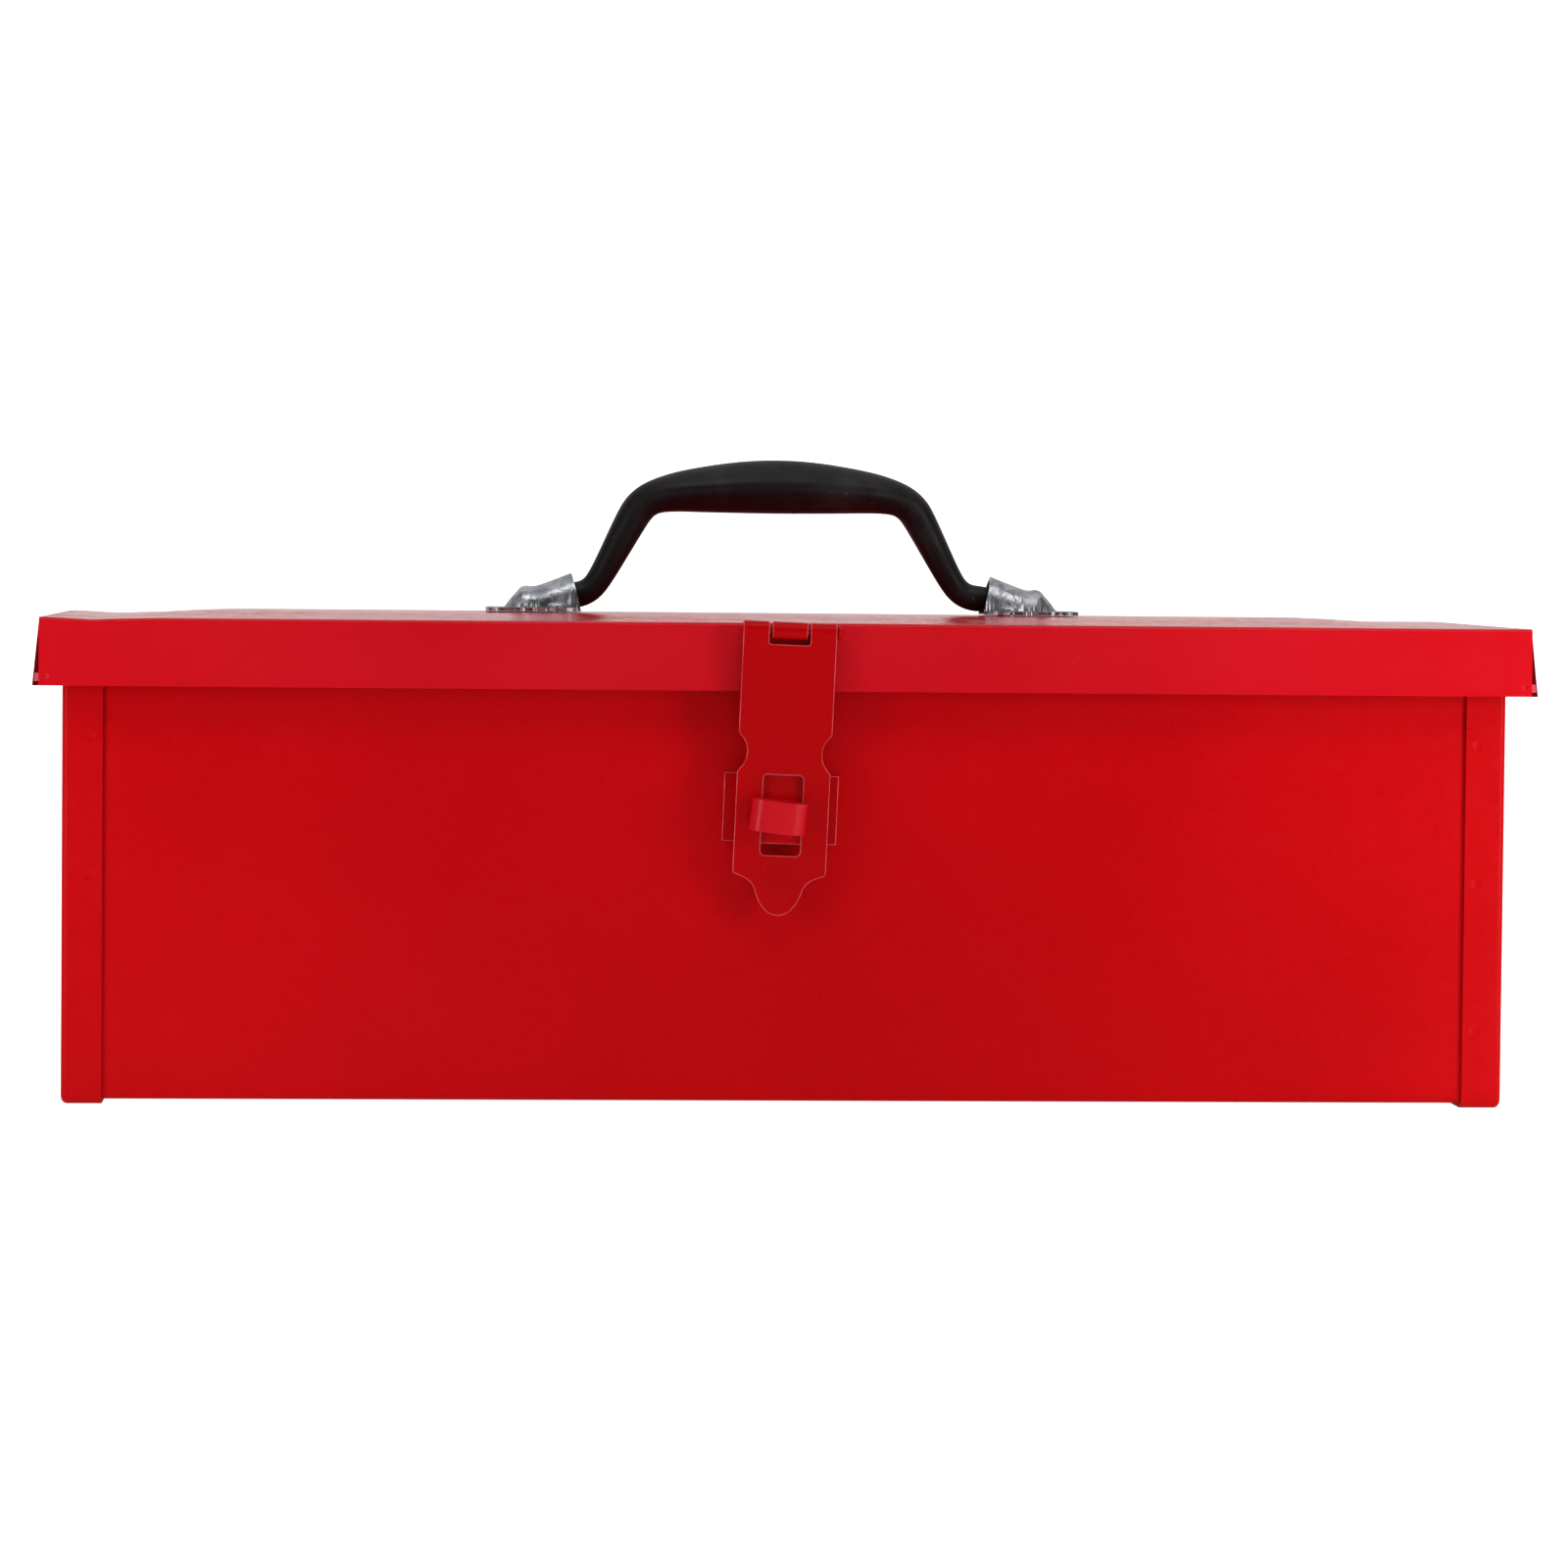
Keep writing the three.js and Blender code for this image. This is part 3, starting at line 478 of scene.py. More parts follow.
def ripple(bm, depth, scale, seed):
    """Lets the long flat walls wander a little along their length, as thin sheet does."""
    for vertex in bm.verts:
        x, _, z = vertex.co
        from_end = min(1, (BODY_END - abs(x)) / (40 * MM))
        from_floor = min(1, max(0, z - 4 * MM) / (30 * MM))
        vertex.co.y += depth * from_end * from_floor * smooth_noise(x, seed, z * 0.6, scale)


def body_shell():
    wall = (shell_high.y - shell_low.y) / 2 - SHEET / 2
    floor = shell_low.z + SHEET / 2
    rim = shell_high.z - SHEET / 2
    hem = wall - HEM_SPACING
    fold = HEM_SPACING / 2
    outline = sheet_outline([
        (-hem, rim - HEM_DEPTH), (-hem, rim, fold), (-wall, rim, fold), (-wall, floor, BEND),
        (wall, floor, BEND), (wall, rim, fold), (hem, rim, fold), (hem, rim - HEM_DEPTH)])
    moved = [Vector((p.x + MIDDLE_Y, p.y)) for p in outline]
    bm = prism(moved, shell_low.x, shell_high.x, "YZ")
    slice_along(bm, 0, [(-180 + 15 * k) * MM for k in range(25)])
    slice_along(bm, 2, [(18 + 16 * k) * MM for k in range(7)])
    ripple(bm, 0.28 * MM, 9, 3.1)
    return soften(make("shell", bm, BODY_RED), edge=EDGE_HIGHLIGHT_RED)


def flange_outline(offset, top):
    """The U of an end panel seen from the end: down one side, across the bottom and up the other."""
    half = (panel_high.y - panel_low.y) / 2 - offset
    radius = BEND + 1.5 * SHEET + SEAT - offset
    points = [Vector((half, top))]
    points += arc((half - radius, offset + radius), radius, 0, -math.pi / 2, 8)
    points += arc((-half + radius, offset + radius), radius, -math.pi / 2, -math.pi, 8)
    points.append(Vector((-half, top)))
    return [Vector((p.x + MIDDLE_Y, p.y)) for p in points]


WELD_HEIGHTS = [22, 62, 100]           # spot welds down each flange, above the floor
WELD_LINE = BODY_END - FLANGE * 0.7    # the row of welds, near each flange's inner edge
WELD_RADIUS = 1.7 * MM
WELD_DEPTH = 0.16 * MM


def lens(centre, across, radius, depth, material):
    """A flat disc with rounded faces, for pressing a shallow dimple into sheet."""
    profile = [(0, -depth), (radius * 0.45, -depth * 0.86), (radius * 0.8, -depth * 0.45), (radius, 0),
               (radius * 0.8, depth * 0.45), (radius * 0.45, depth * 0.86), (0, depth)]
    turn = Vector((0, 0, 1)).rotation_difference(Vector(across)).to_matrix().to_4x4()
    return make("lens", lathe(profile, 20), material, Matrix.Translation(centre) @ turn)


def end_panel(side):
    """A pressed tray: an end wall with flanges, welded round the shell's front, bottom and rear."""
    rim = shell_high.z - SHEET / 2
    fold = HEM_SPACING / 2
    fold_start = rim - fold
    corner = 1.6 * MM                              # outer radius where the wall turns into the flange
    levels = [(BODY_END - FLANGE, 0.0), (BODY_END - FLANGE + 4 * MM, 0.0), (BODY_END - corner, 0.0)]
    levels += [(BODY_END - corner + corner * math.sin(a), corner - corner * math.cos(a))
               for a in [math.radians(22.5 * k) for k in range(1, 5)]]
    inner = [(BODY_END - SHEET, SHEET + 0.6 * MM), (BODY_END - SHEET - 0.35 * MM, SHEET + 0.1 * MM),
             (BODY_END - SHEET - 0.6 * MM, SHEET), (BODY_END - FLANGE, SHEET)]
    rings = [[Vector((side * x, p.x, p.y)) for p in flange_outline(offset, fold_start)]
             for x, offset in levels + inner]
    bm = bmesh.new()
    rows = [[bm.verts.new(p) for p in ring] for ring in rings]
    for a, b in zip(rows, rows[1:] + rows[:1]):
        if rows.index(a) == len(levels) - 1:
            bm.faces.new(a)
            bm.faces.new(b[::-1])
            continue
        for i in range(len(a) - 1):
            bm.faces.new((a[i], a[i + 1], b[i + 1], b[i]))
    ends = [e for e in bm.edges if e.is_boundary]
    bmesh.ops.contextual_create(bm, geom=ends)
    bmesh.ops.recalc_face_normals(bm, faces=bm.faces)
    tray = make("left_end" if side < 0 else "right_end", bm, BODY_RED)
    web = side * (BODY_END - SHEET / 2)
    hem_line = sheet_outline([
        (web, fold_start - 6 * MM), (web, rim, fold), (web - side * HEM_SPACING, rim, fold),
        (web - side * HEM_SPACING, rim - HEM_DEPTH)])
    reach = (shell_high.y - shell_low.y) / 2 - SHEET - HEM_SPACING - 1.4 * MM
    hem = make("hem", prism(hem_line, MIDDLE_Y - reach, MIDDLE_Y + reach, "XZ"), BODY_RED)
    combine(tray, [hem])
    welds = [lens((side * WELD_LINE, face, height * MM), (0, 1, 0), WELD_RADIUS, WELD_DEPTH, BODY_RED)
             for face in (panel_low.y, panel_high.y) for height in WELD_HEIGHTS]
    return soften(combine(tray, welds, "DIFFERENCE"), edge=EDGE_HIGHLIGHT_RED)


place(body_shell(), "body", "red_paint", "body_shell")
place(end_panel(-1), "body", "red_paint", "left_end_panel")
place(end_panel(1), "body", "red_paint", "right_end_panel")


# ---- lid ------------------------------------------------------------------------------------

CROWN_MARGIN = 13 * MM
CROWN_RAMP = 40 * MM
CORNER_WELD = {"inset": 1.9 * MM, "height": 2.6 * MM, "radius": 0.9 * MM, "depth": 0.3 * MM}


def crown_share(distance):
    """The part of the crown that is reached at a distance from an edge of the lid."""
    t = max(0, min(1, (distance - CROWN_MARGIN) / CROWN_RAMP))
    return t * t * (3 - 2 * t)


def crown_at(x, y):
    return LID_CROWN * crown_share(LID_HALF - abs(x)) * crown_share(min(y - LID_FRONT, LID_REAR - y))


def wander(bm):
    """Crowns the lid's top. Its front edge dips near the left corner, and its skirts wander."""
    for vertex in bm.verts:
        x, y, z = vertex.co
        inside = max(0, min(1, (LID_HALF - abs(x)) / (10 * MM)))
        top = max(0, (z - LID_TOP + SKIRT) / SKIRT)
        near_corner = (x + 189 * MM) / (9 * MM)
        dip = 0.55 * MM * math.exp(-near_corner * near_corner)
        dip += 0.06 * MM * (1 + smooth_noise(x, 0, 2.0, 16))
        from_top = max(0, min(1, (LID_TOP - z) / (6 * MM)))
        vertex.co.z += crown_at(x, y) * (1 - from_top) - inside * top * dip
        if y < MIDDLE_Y:
            vertex.co.y += 0.14 * MM * inside * from_top * (1 + smooth_noise(x, 5.0, z, 14))


def lid():
    """The pan and its leaning end skirts, with a dark tab as painted shade and a paler foot as a painted
    highlight in each corner's wedge.
    """
    low, high = LID_TOP - SKIRT, LID_TOP - SHEET / 2
    front, rear = LID_FRONT + SHEET / 2, LID_REAR - SHEET / 2
    channel = sheet_outline([(front, low), (front, high, LID_BEND), (rear, high, LID_BEND), (rear, low)])
    bm = prism(channel, -LID_HALF, LID_HALF, "YZ")
    slice_along(bm, 0, [(-198 + 9 * k) * MM for k in range(45)])
    slice_along(bm, 1, [LID_FRONT + (10 + 7 * k) * MM for k in range(20)])
    slice_along(bm, 2, [LID_TOP - 10 * MM])
    wander(bm)
    pan = make("lid_pan", bm, LID_RED)
    parts = []
    foot_low, foot_high = low + 1.2 * MM, low + 3.4 * MM
    for side in (-1, 1):
        edge = side * (LID_HALF - SHEET / 2)
        flared = edge + side * END_FLARE
        inward = side * (LID_HALF - 2.5 * MM)
        skirt = sheet_outline([(inward, high), (edge, high, LID_BEND), (flared, low)])
        parts.append(make("skirt", prism(skirt, LID_FRONT + SHEET, LID_REAR - SHEET, "XZ"), LID_RED))
        outer = side * SHEET / 2
        under = LID_TOP - SHEET
        # The dark tab is painted shade: a dark sheet put where the corner's wedge is only in shadow.
        tab = [Vector(p) for p in (
            (inward, under), (edge + outer * 0.5, under), (flared + outer, low), (inward, low))]
        nearly_flared = edge + side * END_FLARE * 0.85
        # The paler foot is a painted highlight at the bottom of each corner's wedge.
        foot = [Vector(p) for p in (
            (inward, foot_high), (nearly_flared, foot_high), (flared, foot_low), (inward, foot_low))]
        for place_y, outward in ((LID_FRONT + SHEET * 0.5, -1), (LID_REAR - SHEET * 1.5, 1)):
            parts.append(make("tab", prism(tab, place_y, place_y + SHEET, "XZ"), SHADE_TAB_RED))
            shifted = place_y + outward * SHEET * 0.3
            parts.append(make("foot", prism(foot, shifted, shifted + SHEET, "XZ"), EDGE_HIGHLIGHT_RED))
    combine(pan, parts)
    weld = CORNER_WELD
    welds = [lens((side * (LID_HALF - weld["inset"]), face, low + weld["height"]), (0, 1, 0),
                  weld["radius"], weld["depth"], LID_RED)
             for side in (-1, 1) for face in (LID_FRONT, LID_REAR)]
    return soften(combine(pan, welds, "DIFFERENCE"), EDGE * 1.2, edge=EDGE_HIGHLIGHT_RED)


place(lid(), "lid", "red_paint", "lid")


# ---- hasp and staple ------------------------------------------------------------------------

def turned_frame(joint, forward=None):
    """A matrix whose origin is on the joint and whose X runs along its axis, or Y for a swivel."""
    origin = Vector(joints[joint]["pos_m"])
    axis = Vector(joints[joint]["axis"]).normalized()
    if forward is None:
        across = -axis
        up = Vector((0, 0, 1))
        up = (up - across * up.dot(across)).normalized()
        ahead = up.cross(across)
    else:
        ahead = axis
        across = (forward - ahead * forward.dot(ahead)).normalized()
        up = across.cross(ahead)
    turn = Matrix((across, ahead, up)).transposed().to_4x4()
    return Matrix.Translation(origin) @ turn


HASP = turned_frame("hasp_swing")
LATCH_LEAN = math.radians(3)                       # the closed strap leans in towards the body
LEAN = HASP @ Matrix.Rotation(LATCH_LEAN, 4, "X")
STAPLE_TURN = math.radians(4.3)                    # the staple rests this far out of square with the strap
STRAP_ACROSS = LEAN.to_3x3() @ Vector((1, 0, 0))
SWIVEL = turned_frame("staple_swivel", STRAP_ACROSS) @ Matrix.Rotation(STAPLE_TURN, 4, "Y")
ROLL = 2.4 * MM


def knuckle(roll, stem, low, high, material, name="knuckle"):
    """One rolled ear, open along its seam, with the strip that it is rolled from."""
    line = arc((0, 0), roll - SHEET / 2, math.radians(-112), math.pi, 26)
    line.append(Vector((-roll + SHEET / 2, -stem)))
    outline = offset_line(line, SHEET / 2) + offset_line(line, -SHEET / 2)[::-1]
    return make(name, prism(outline, low, high, "YZ"), material)


# Sizes of the strap, in millimetres from the pin.
STRAP = {"half": 12.7, "tip": -77.4, "shoulder": -66.1, "notch_half": 5.6, "notch_floor": -3.6}
WINDOW_Z = -50                                     # the same, to the middle of the window
WINDOW_HALF = (5.4, 11)


def strap_outline():
    """From the notched top down the left edge, round the tip and up again, in millimetres from the pin."""
    half, tip, shoulder = STRAP["half"], STRAP["tip"], STRAP["shoulder"]
    waist = [(-27.7, 0), (-28.5, 0.5), (-29.6, 1.5), (-30.9, 2.2), (-32.9, 2.5), (-35.2, 2.2), (-36.7, 1.4),
             (-37.8, 0.5), (-38.5, 0)]
    points = [Vector((-half, 0))]
    points += [Vector((inward - half, z)) for z, inward in waist]
    points.append(Vector((-half, shoulder + 0.8)))
    corner = (-11.6, shoulder - 0.4)
    neck = (-6.6, shoulder - 4.1)
    points += bezier((-half, shoulder + 0.8), (-half, shoulder), (-12.3, shoulder - 0.2), corner, 5)
    points += bezier(corner, (-9.2, shoulder - 1.1), (-7.5, shoulder - 2.1), neck, 8)
    points += bezier(neck, (-5.7, shoulder - 7.5), (-3.6, tip), (0, tip), 12)
    mirrored = [Vector((-p.x, p.y)) for p in points[:-1]][::-1]
    notch_half, floor = STRAP["notch_half"], STRAP["notch_floor"]
    notch = [(notch_half, 0), (notch_half, floor + 0.3), (notch_half - 0.3, floor)]
    notch += [(-u, v) for u, v in notch[::-1]]
    return [p * MM for p in points + mirrored + [Vector(p) for p in notch]]


def hasp_strap():
    half_width, half_height = WINDOW_HALF
    window = rounded_rect(-half_width * MM, half_width * MM,
                          (WINDOW_Z - half_height) * MM, (WINDOW_Z + half_height) * MM, 1.2 * MM)
    plate = make("strap", prism(strap_outline(), -ROLL, -ROLL + SHEET, "XZ", [window]), HARDWARE_RED)
    inner, outer = STRAP["notch_half"] * MM, STRAP["half"] * MM
    ears = [knuckle(ROLL, 3 * MM, low, high, HARDWARE_RED)
            for low, high in ((-outer, -inner), (inner, outer))]
    strap = combine(plate, ears)
    strap.data.transform(LEAN)
    return soften(strap, 0.3 * MM, 3, edge=EDGE_HIGHLIGHT_RED)


def hasp_bracket():
    tab = knuckle(ROLL, 4 * MM, -4.8 * MM, 4.8 * MM, HARDWARE_RED, "bracket")
    tab.data.transform(Matrix.Rotation(math.pi, 4, "Z"))
    outline = rounded_rect(-11.5 * MM, 11.5 * MM, -14 * MM, -3.3 * MM, 1.5 * MM)
    plate = make("plate", prism(outline, ROLL - SHEET, ROLL, "XZ"), HARDWARE_RED)
    bracket = combine(tab, [plate])
    bracket.data.transform(HASP)
    return soften(bracket, edge=EDGE_HIGHLIGHT_RED)


def hasp_pin():
    """The pin's left end is flush, and its right end is spread into a small blunt head."""
    profile = [(0, -13.6), (0.8, -13.6), (1.2, -13.2), (1.2, 12.9),
               (1.75, 13.1), (1.8, 13.6), (1.3, 14.3), (0, 14.7)]
    bm = lathe([(r * MM, z * MM) for r, z in profile], 24)
    along_x = HASP @ Matrix.Rotation(math.pi / 2, 4, "Y")
    return soften(make("hasp_pin_piece", bm, HARDWARE_RED, along_x), 0.12 * MM)


RAISED = -ROLL + SHEET + 0.35 * MM                 # face of the staple bracket, behind the strap
WASHER = 0.5 * MM                                  # thickness of the washer under the staple's band
BAND = 1.0 * MM                                    # and of the band


def staple_bracket():
    """A hat-shaped bracket whose raised face follows the lean of the strap."""
    foot = -HASP.translation.y + shell_low.y - SHEET / 2 - SEAT
    centre = -48.5 * MM
    half_height = 9.4 * MM

    def rise(z):
        return (RAISED + SHEET / 2) / math.cos(LATCH_LEAN) - z * math.tan(LATCH_LEAN)

    outline = sheet_outline([
        (-15.6 * MM, foot), (-10 * MM, foot, 1.2 * MM), (-10 * MM, rise(centre), 1.2 * MM),
        (10 * MM, rise(centre), 1.2 * MM), (10 * MM, foot, 1.2 * MM), (15.6 * MM, foot)])
    bm = prism(outline, centre - half_height, centre + half_height, "XY")
    span = foot - rise(centre)
    for vertex in bm.verts:
        share = max(0, min(1, (foot - vertex.co.y) / span))
        vertex.co.y += (rise(vertex.co.z) - rise(centre)) * share
    return soften(make("staple_base", bm, HARDWARE_RED, HASP), edge=EDGE_HIGHLIGHT_RED)


def staple_loop():
    """A band bent to a flat loop, in millimetres, whose neck goes through the strap's window."""
    half_height, half_width, half_depth, neck, shift = 4.3, 7.1, 3.8, 2.4, -1.2
    base = (RAISED - SEAT - WASHER - SEAT - BAND / 2) / MM
    centre = (-ROLL - 0.5 * MM - BAND / 2) / MM - half_depth
    start = math.asin((neck - shift) / half_width)
    finish = 2 * math.pi + math.asin((-neck - shift) / half_width)
    loop = [(shift + half_width * math.sin(start + (finish - start) * k / 60),
             centre + half_depth * math.cos(start + (finish - start) * k / 60)) for k in range(61)]
    corners = [(-neck, base), (neck, base)]
    line = [Vector(p) * MM for p in corners + loop]
    outer = offset_line(line, BAND / 2, True)
    inner = offset_line(line, -BAND / 2, True)
    bm = prism(outer, -half_height * MM, half_height * MM, "XY", [inner])
    return soften(make("staple", bm, LID_RED, SWIVEL), 0.22 * MM, 3, edge=EDGE_HIGHLIGHT_RED)


def rivet_profile(head, height, shank, grip, tail, tail_height):
    """Half of a rivet's section: a domed head, a shank as long as the grip and a flat tail."""
    dome = [(head * math.cos(a), height * (0.25 + 0.75 * math.sin(a)))
            for a in [math.radians(15 * k) for k in range(7)]]
    return [(0, -grip - tail_height), (tail * 0.8, -grip - tail_height), (tail, -grip - tail_height / 2),
            (tail, -grip), (shank, -grip), (shank, 0), (head, 0), *dome[:-1], (0, height)]


def staple_rivet():
    seat = (RAISED - SEAT - WASHER - SEAT - BAND - SEAT) / MM
    behind = (RAISED + SHEET + SEAT) / MM
    profile = rivet_profile(1.7, 0.8, 1.0, behind - seat, 2.2, 1.0)
    matrix = SWIVEL @ Matrix.Translation((0, seat * MM, 0)) @ Matrix.Rotation(math.pi / 2, 4, "X")
    bm = lathe([(r * MM, z * MM) for r, z in profile])
    return soften(make("staple_rivet_piece", bm, HARDWARE_RED, matrix), 0.1 * MM)


place(hasp_strap(), "hasp", "red_hardware", "hasp_strap")
place(hasp_bracket(), "lid", "red_hardware", "hasp_bracket")
place(hasp_pin(), "lid", "red_hardware", "hasp_pin")
place(staple_bracket(), "body", "red_hardware", "staple_bracket")
place(staple_loop(), "staple", "red_hardware", "staple_loop")
place(staple_rivet(), "staple", "red_hardware", "staple_rivet")


# ---- handle ---------------------------------------------------------------------------------

handle_joint = Vector(joints["handle_pivot"]["pos_m"])
PIVOT = 4.6                       # height of the pivot above the lid's crown, in millimetres

# Half of the handle, from the middle of the grip to a pivot's tip: distance along X, height above
# the lid's crown, half thickness in the handle's plane, half width across it, and how sharp its
# ridge is.
HANDLE = [
    (0, 36, 7.8, 9.5, 1), (10, 35.8, 7.5, 9.3, 1), (20, 35.1, 6.7, 8.6, 0.9), (28, 34.4, 5.8, 7.4, 0.6),
    (33, 33.4, 5.1, 6.4, 0.3), (36.4, 32.1, 4.8, 5.7, 0.1), (38.9, 29.9, 4.8, 5.2, 0),
    (40.8, 27.1, 4.7, 4.9, 0), (45.5, 18, 4.1, 4.3, 0), (50.1, 9.3, 3.6, 3.9, 0),
    (52.5, 6.4, 3.7, 3.8, 0), (55.5, 4.9, 3.8, 3.8, 0), (59.6, PIVOT, 3.7, 3.7, 0),
    (61.6, PIVOT, 3.0, 3.0, 0), (62.6, PIVOT, 1.8, 1.8, 0), (64.6, PIVOT, 1.8, 1.8, 0),
]


def grip_section(angle, ridge):
    """Unit section of the handle: an oval whose sides come to a soft ridge a little above the middle."""
    across = math.cos(angle)
    up = math.sin(angle)
    pinch = ridge * 0.10 * abs(across) ** 8
    return across * (1 + pinch), up * (1 - 0.10 * ridge * abs(across) ** 2)


def handle():
    stations = [(-x, *rest) for x, *rest in HANDLE[:0:-1]] + HANDLE
    around = 24
    rings = []
    for i, (x, z, thick, wide, ridge) in enumerate(stations):
        before = stations[max(i - 1, 0)]
        after = stations[min(i + 1, len(stations) - 1)]
        along = Vector((after[0] - before[0], after[1] - before[1])).normalized()
        ring = []
        for k in range(around):
            across, up = grip_section(2 * math.pi * (k + 0.5) / around, ridge)
            out = thick * up
            ring.append(Vector((x - along.y * out, wide * across, z + along.x * out - PIVOT)) * MM)
        rings.append(ring)
    piece = make("grip", loft(rings), PLASTIC, Matrix.Translation(handle_joint))
    piece.data.shade_smooth()
    smooth = piece.modifiers.new("smooth", "SUBSURF")
    smooth.levels = 2
    smooth.render_levels = 2
    return piece


place(handle(), "handle", "black_plastic", "handle")


# ---- handle clips and rivets ----------------------------------------------------------------

CLIP_MIDDLE = (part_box("left_handle_clip")[0].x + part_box("right_handle_clip")[1].x) / 2
CLIP_MOUTH = 57 * MM              # from there to each clip's mouth
CLIP_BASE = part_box("left_handle_clip")[0].z
HOOD_WALL = 1.0                   # thickness of a hood across, in millimetres
HOOD_BACK = 0.9                   # and along the box

# A clip's hood: distance from its mouth, half width and height above the flange's underside.
HOOD = [
    (0, 7.4, 11.8), (3, 7.2, 10.7), (7, 6.9, 9.1), (11, 6.6, 7.6), (13, 6.5, 7.0), (14.4, 6.4, 7.0),
    (15.8, 6.2, 7.1), (17.2, 5.8, 6.5), (18.4, 5.2, 5.1), (19.4, 4.6, 4.0), (20.2, 3.9, 3.0),
    (21.6, 2.2, 1.2),
]
FLANGE_END = 26.8


def hood_ring(x, half_width, height, shrink, seed):
    """One arch across Y, with draw wrinkles that fade towards the crown."""
    ring = []
    steps = 28
    for k in range(steps + 1):
        angle = math.pi * k / steps
        low = (1 - math.sin(angle)) ** 1.5
        far_side = 2 if k > steps / 2 else 0
        wrinkle = 0.22 * low * math.sin(x * 4.3 + seed + far_side) if 1 < x < 18 else 0
        across = (half_width - shrink + wrinkle) * math.cos(angle)
        up = (height - shrink) * math.sin(angle) ** 0.75
        ring.append(Vector((x, across, up)) * MM)
    return ring


def fine_hood(points, factor=3):
    """More stations between the given ones, on a smooth line."""
    fine = []
    for i in range(len(points) - 1):
        for k in range(factor):
            t = k / factor
            a = points[max(i - 1, 0)]
            b, c = points[i], points[i + 1]
            d = points[min(i + 2, len(points) - 1)]
            fine.append(tuple(
                0.5 * (2 * q + (r - p) * t + (2 * p - 5 * q + 4 * r - s) * t * t
                       + (3 * q - p - 3 * r + s) * t**3)
                for p, q, r, s in zip(a, b, c, d)))
    fine.append(points[-1])
    return fine


def handle_clip(side):
    """A hollow hood on a flat flange. It starts ahead of its mouth, and a slanting cut trims it there."""
    stations = fine_hood(HOOD)
    outer = loft([hood_ring(-1 if x == 0 else x, w, h, 0, side) for x, w, h in stations])
    clip = make("left_clip" if side < 0 else "right_clip", outer, ZINC)
    flange = prism(rounded_rect(1 * MM, FLANGE_END * MM, -15 * MM, 15 * MM, 4 * MM), 0, SHEET, "XY")
    hollow = loft([
        [p - Vector((0, 0, 1.2 * MM if p.z < 0.1 * MM else 0)) for p in
         hood_ring(-3 if x == 0 else x - HOOD_BACK, w, h, HOOD_WALL, side)]
        for x, w, h in stations[:-2]])
    combine(clip, [make("flange", flange, ZINC)])
    lip = [Vector((u * MM, v * MM)) for u, v in ((-6, -2), (0, -2), (0, 0), (3.8, 15), (-6, 15))]
    cuts = [make("hollow", hollow, ZINC), make("lip", prism(lip, -9 * MM, 9 * MM, "XZ"), ZINC)]
    combine(clip, cuts, "DIFFERENCE")
    turn = Matrix.Rotation(math.pi if side < 0 else 0, 4, "Z")
    clip.data.transform(Matrix.Translation((CLIP_MIDDLE + side * CLIP_MOUTH, MIDDLE_Y, CLIP_BASE)) @ turn)
    return soften(clip, 0.15 * MM, 2, 40)


def clip_rivet(node):
    low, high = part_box(node)
    middle = (low + high) / 2
    profile = rivet_profile(2.6, 1.2, 1.4, 2.9, 2.4, 0.8)
    bm = lathe([(r * MM, z * MM) for r, z in profile])
    seat = Matrix.Translation((middle.x, middle.y, high.z - 1.2 * MM))
    return soften(make(node + "_piece", bm, RIVET_ZINC, seat), 0.1 * MM)


for clip_side, clip_name in ((-1, "left"), (1, "right")):
    place(handle_clip(clip_side), "lid", "zinc", clip_name + "_handle_clip")
    for row in ("front", "rear"):
        rivet_node = f"{clip_name}_clip_{row}_rivet"
        place(clip_rivet(rivet_node), "lid", "zinc", rivet_node)


# ---- pieces kept from the frame -------------------------------------------------------------

def dress(node, material, width=0.15 * MM):
    """Gives a CAD node its finish and rounds its edges."""
    piece = frame["nodes"][node]
    piece.data.materials.clear()
    piece.data.materials.append(material)
    soften(piece, width)


dress("body_hinge_leaf", HARDWARE_RED)
dress("lid_hinge_leaf", HARDWARE_RED)
dress("hinge_pin", PIN_STEEL, 0.1 * MM)
dress("staple_washer", HARDWARE_RED, 0.1 * MM)


# ---- stage, light and camera ----------------------------------------------------------------

FLOOR_GLOW = (0.12, 0.45)         # light that the floor gives off in front of the box and behind it
GLOW_FROM, GLOW_TO = -0.1, 0.9    # where along Y the one changes into the other
SURROUND = 0.2                    # brightness of the surroundings
ROOM = 0.02                       # and of the darker room in front of the box
KEY, LEFT, RIGHT, TOP = 8.4, 0.40, 0.66, 5          # strengths of the four lights, in watts
CAMERA_PLACE = (-0.1056, -1.6693 + MIDDLE_Y, 0.1533)    # fitted to the corners in the photograph
CAMERA_SPIN = (2.35, 0.461, 3.722)                  # its turn about X, Y and Z as one vector, in degrees


def floor_surface():
    """Pale sheet, plain white to the camera. It lights the box less than that, and mostly from behind."""
    g = Graph("pale_floor")
    grain = g.remap(g.noise(3, 3), 0.3, 0.7, 0.94, 1.0)
    depth = g.node("ShaderNodeSeparateXYZ", {0: g.object}).outputs["Y"]
    glow = g.math("MULTIPLY", g.remap(depth, GLOW_FROM, GLOW_TO, *FLOOR_GLOW), grain)
    glow = g.math("MAXIMUM", glow, g.node("ShaderNodeLightPath").outputs["Is Camera Ray"])
    return g.set(Base_Color=(0.86, 0.86, 0.86, 1), Roughness=0.75, Specular_IOR_Level=0.2,
                 Emission_Color=(1, 1, 1, 1), Emission_Strength=glow)


def add_floor():
    """One pale sheet that runs back and curves up into a backdrop."""
    profile = [Vector((-4.0, 0)), Vector((1.6, 0))]
    profile += arc((1.6, 1.2), 1.2, -math.pi / 2, 0, 24)
    profile.append(Vector((2.8, 5.0)))
    bm = bmesh.new()
    rows = [[bm.verts.new((x, p.x, p.y)) for p in profile] for x in (-6, 6)]
    for i in range(len(profile) - 1):
        bm.faces.new((rows[0][i], rows[1][i], rows[1][i + 1], rows[0][i + 1]))
    floor = make("floor", bm, floor_surface())
    floor.data.shade_smooth()


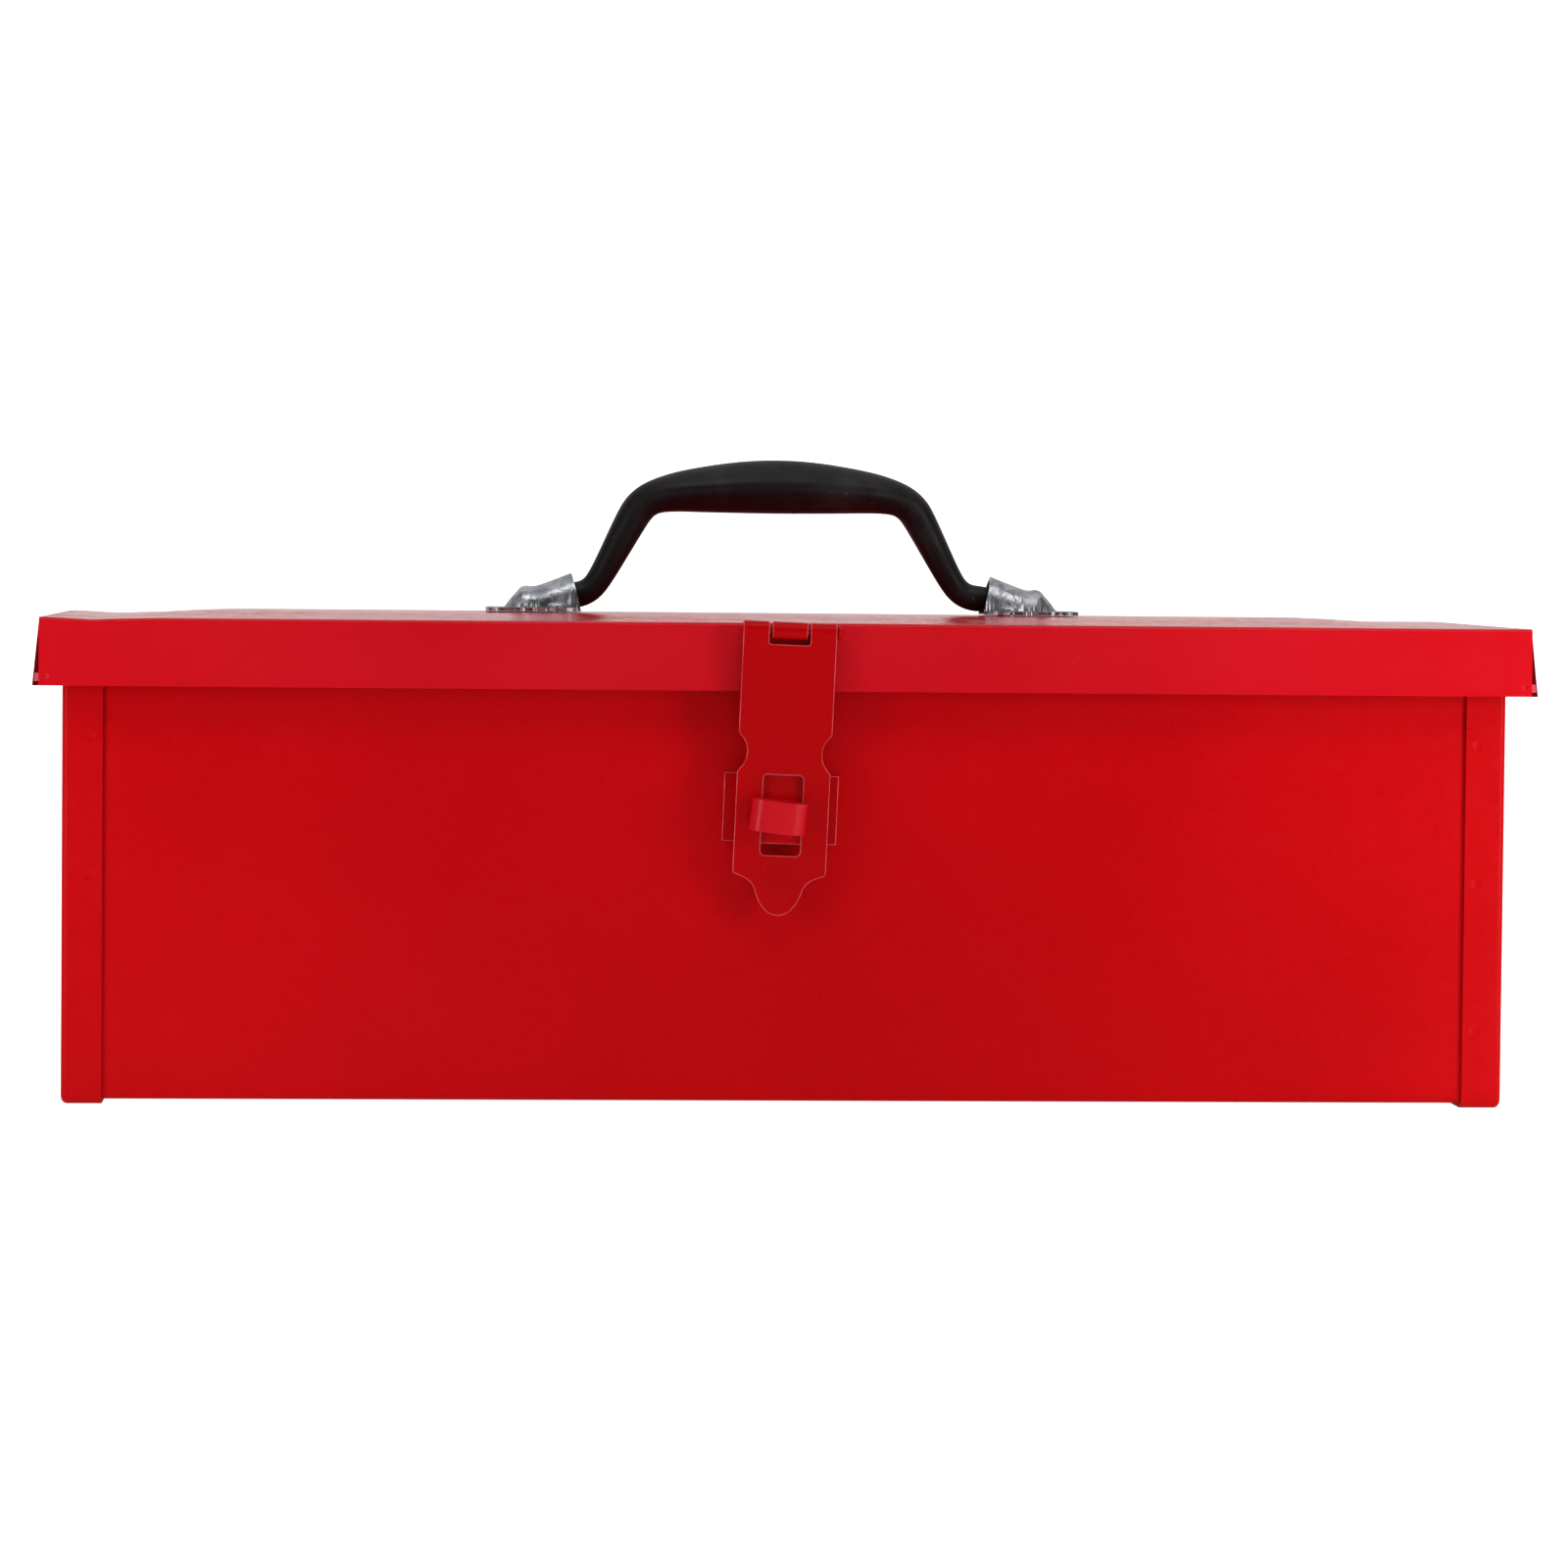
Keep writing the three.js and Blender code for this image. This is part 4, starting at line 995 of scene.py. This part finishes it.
def add_area(name, location, target, size, power):
    light = bpy.data.lights.new(name, "AREA")
    light.shape = "RECTANGLE"
    light.size, light.size_y = size
    light.energy = power
    lamp = bpy.data.objects.new(name, light)
    bpy.context.scene.collection.objects.link(lamp)
    lamp.location = location
    lamp.rotation_euler = (Vector(target) - Vector(location)).to_track_quat("-Z", "Y").to_euler()


def add_world():
    """Surroundings that the camera sees as white, with a darker room for the glossy front to mirror."""
    world = bpy.data.worlds.new("studio")
    world.use_nodes = True
    nodes, links = world.node_tree.nodes, world.node_tree.links
    axes = nodes.new("ShaderNodeSeparateXYZ")
    links.new(nodes.new("ShaderNodeTexCoord").outputs["Generated"], axes.inputs[0])
    room = nodes.new("ShaderNodeMapRange")
    room.interpolation_type = "SMOOTHSTEP"
    for socket, value in (("From Min", -0.95), ("From Max", -0.5), ("To Min", ROOM), ("To Max", SURROUND)):
        room.inputs[socket].default_value = value
    links.new(axes.outputs["Y"], room.inputs["Value"])
    shown = nodes.new("ShaderNodeMath")
    shown.operation = "MAXIMUM"
    links.new(nodes.new("ShaderNodeLightPath").outputs["Is Camera Ray"], shown.inputs[0])
    links.new(room.outputs[0], shown.inputs[1])
    links.new(shown.outputs[0], nodes["Background"].inputs["Strength"])
    nodes["Background"].inputs["Color"].default_value = (1, 1, 1, 1)
    bpy.context.scene.world = world


def add_lights():
    bpy.context.scene.view_settings.view_transform = "Standard"
    middle = (0, 0, 0.07)
    add_area("key_box", (0, -0.75, 1.5), middle, (1.8, 0.5), KEY)
    add_area("left_box", (-0.36, -0.30, 0.13), (-0.19, -0.07, 0.07), (0.12, 0.25), LEFT)
    add_area("right_box", (0.36, -0.30, 0.13), (0.19, -0.07, 0.07), (0.12, 0.25), RIGHT)
    add_area("top_box", (0, 0.2, 1.8), middle, (2.0, 1.2), TOP)


def add_camera():
    """A long lens, 0.1 m left of the middle and just above the lid's level, held slightly askew."""
    camera = bpy.data.cameras.new("camera")
    camera.sensor_width = 36
    camera.lens = 135
    camera.clip_end = 50
    eye = bpy.data.objects.new("camera", camera)
    bpy.context.scene.collection.objects.link(eye)
    spin = Vector(CAMERA_SPIN) * math.pi / 180
    to_camera = Matrix.Rotation(spin.length, 3, spin.normalized())
    rows = to_camera.transposed()
    right, ahead, up = (rows.col[i] for i in range(3))
    facing = Matrix((right, up, -ahead)).transposed().to_4x4()
    eye.matrix_world = Matrix.Translation(CAMERA_PLACE) @ facing
    bpy.context.scene.camera = eye


add_floor()
add_world()
add_lights()
add_camera()
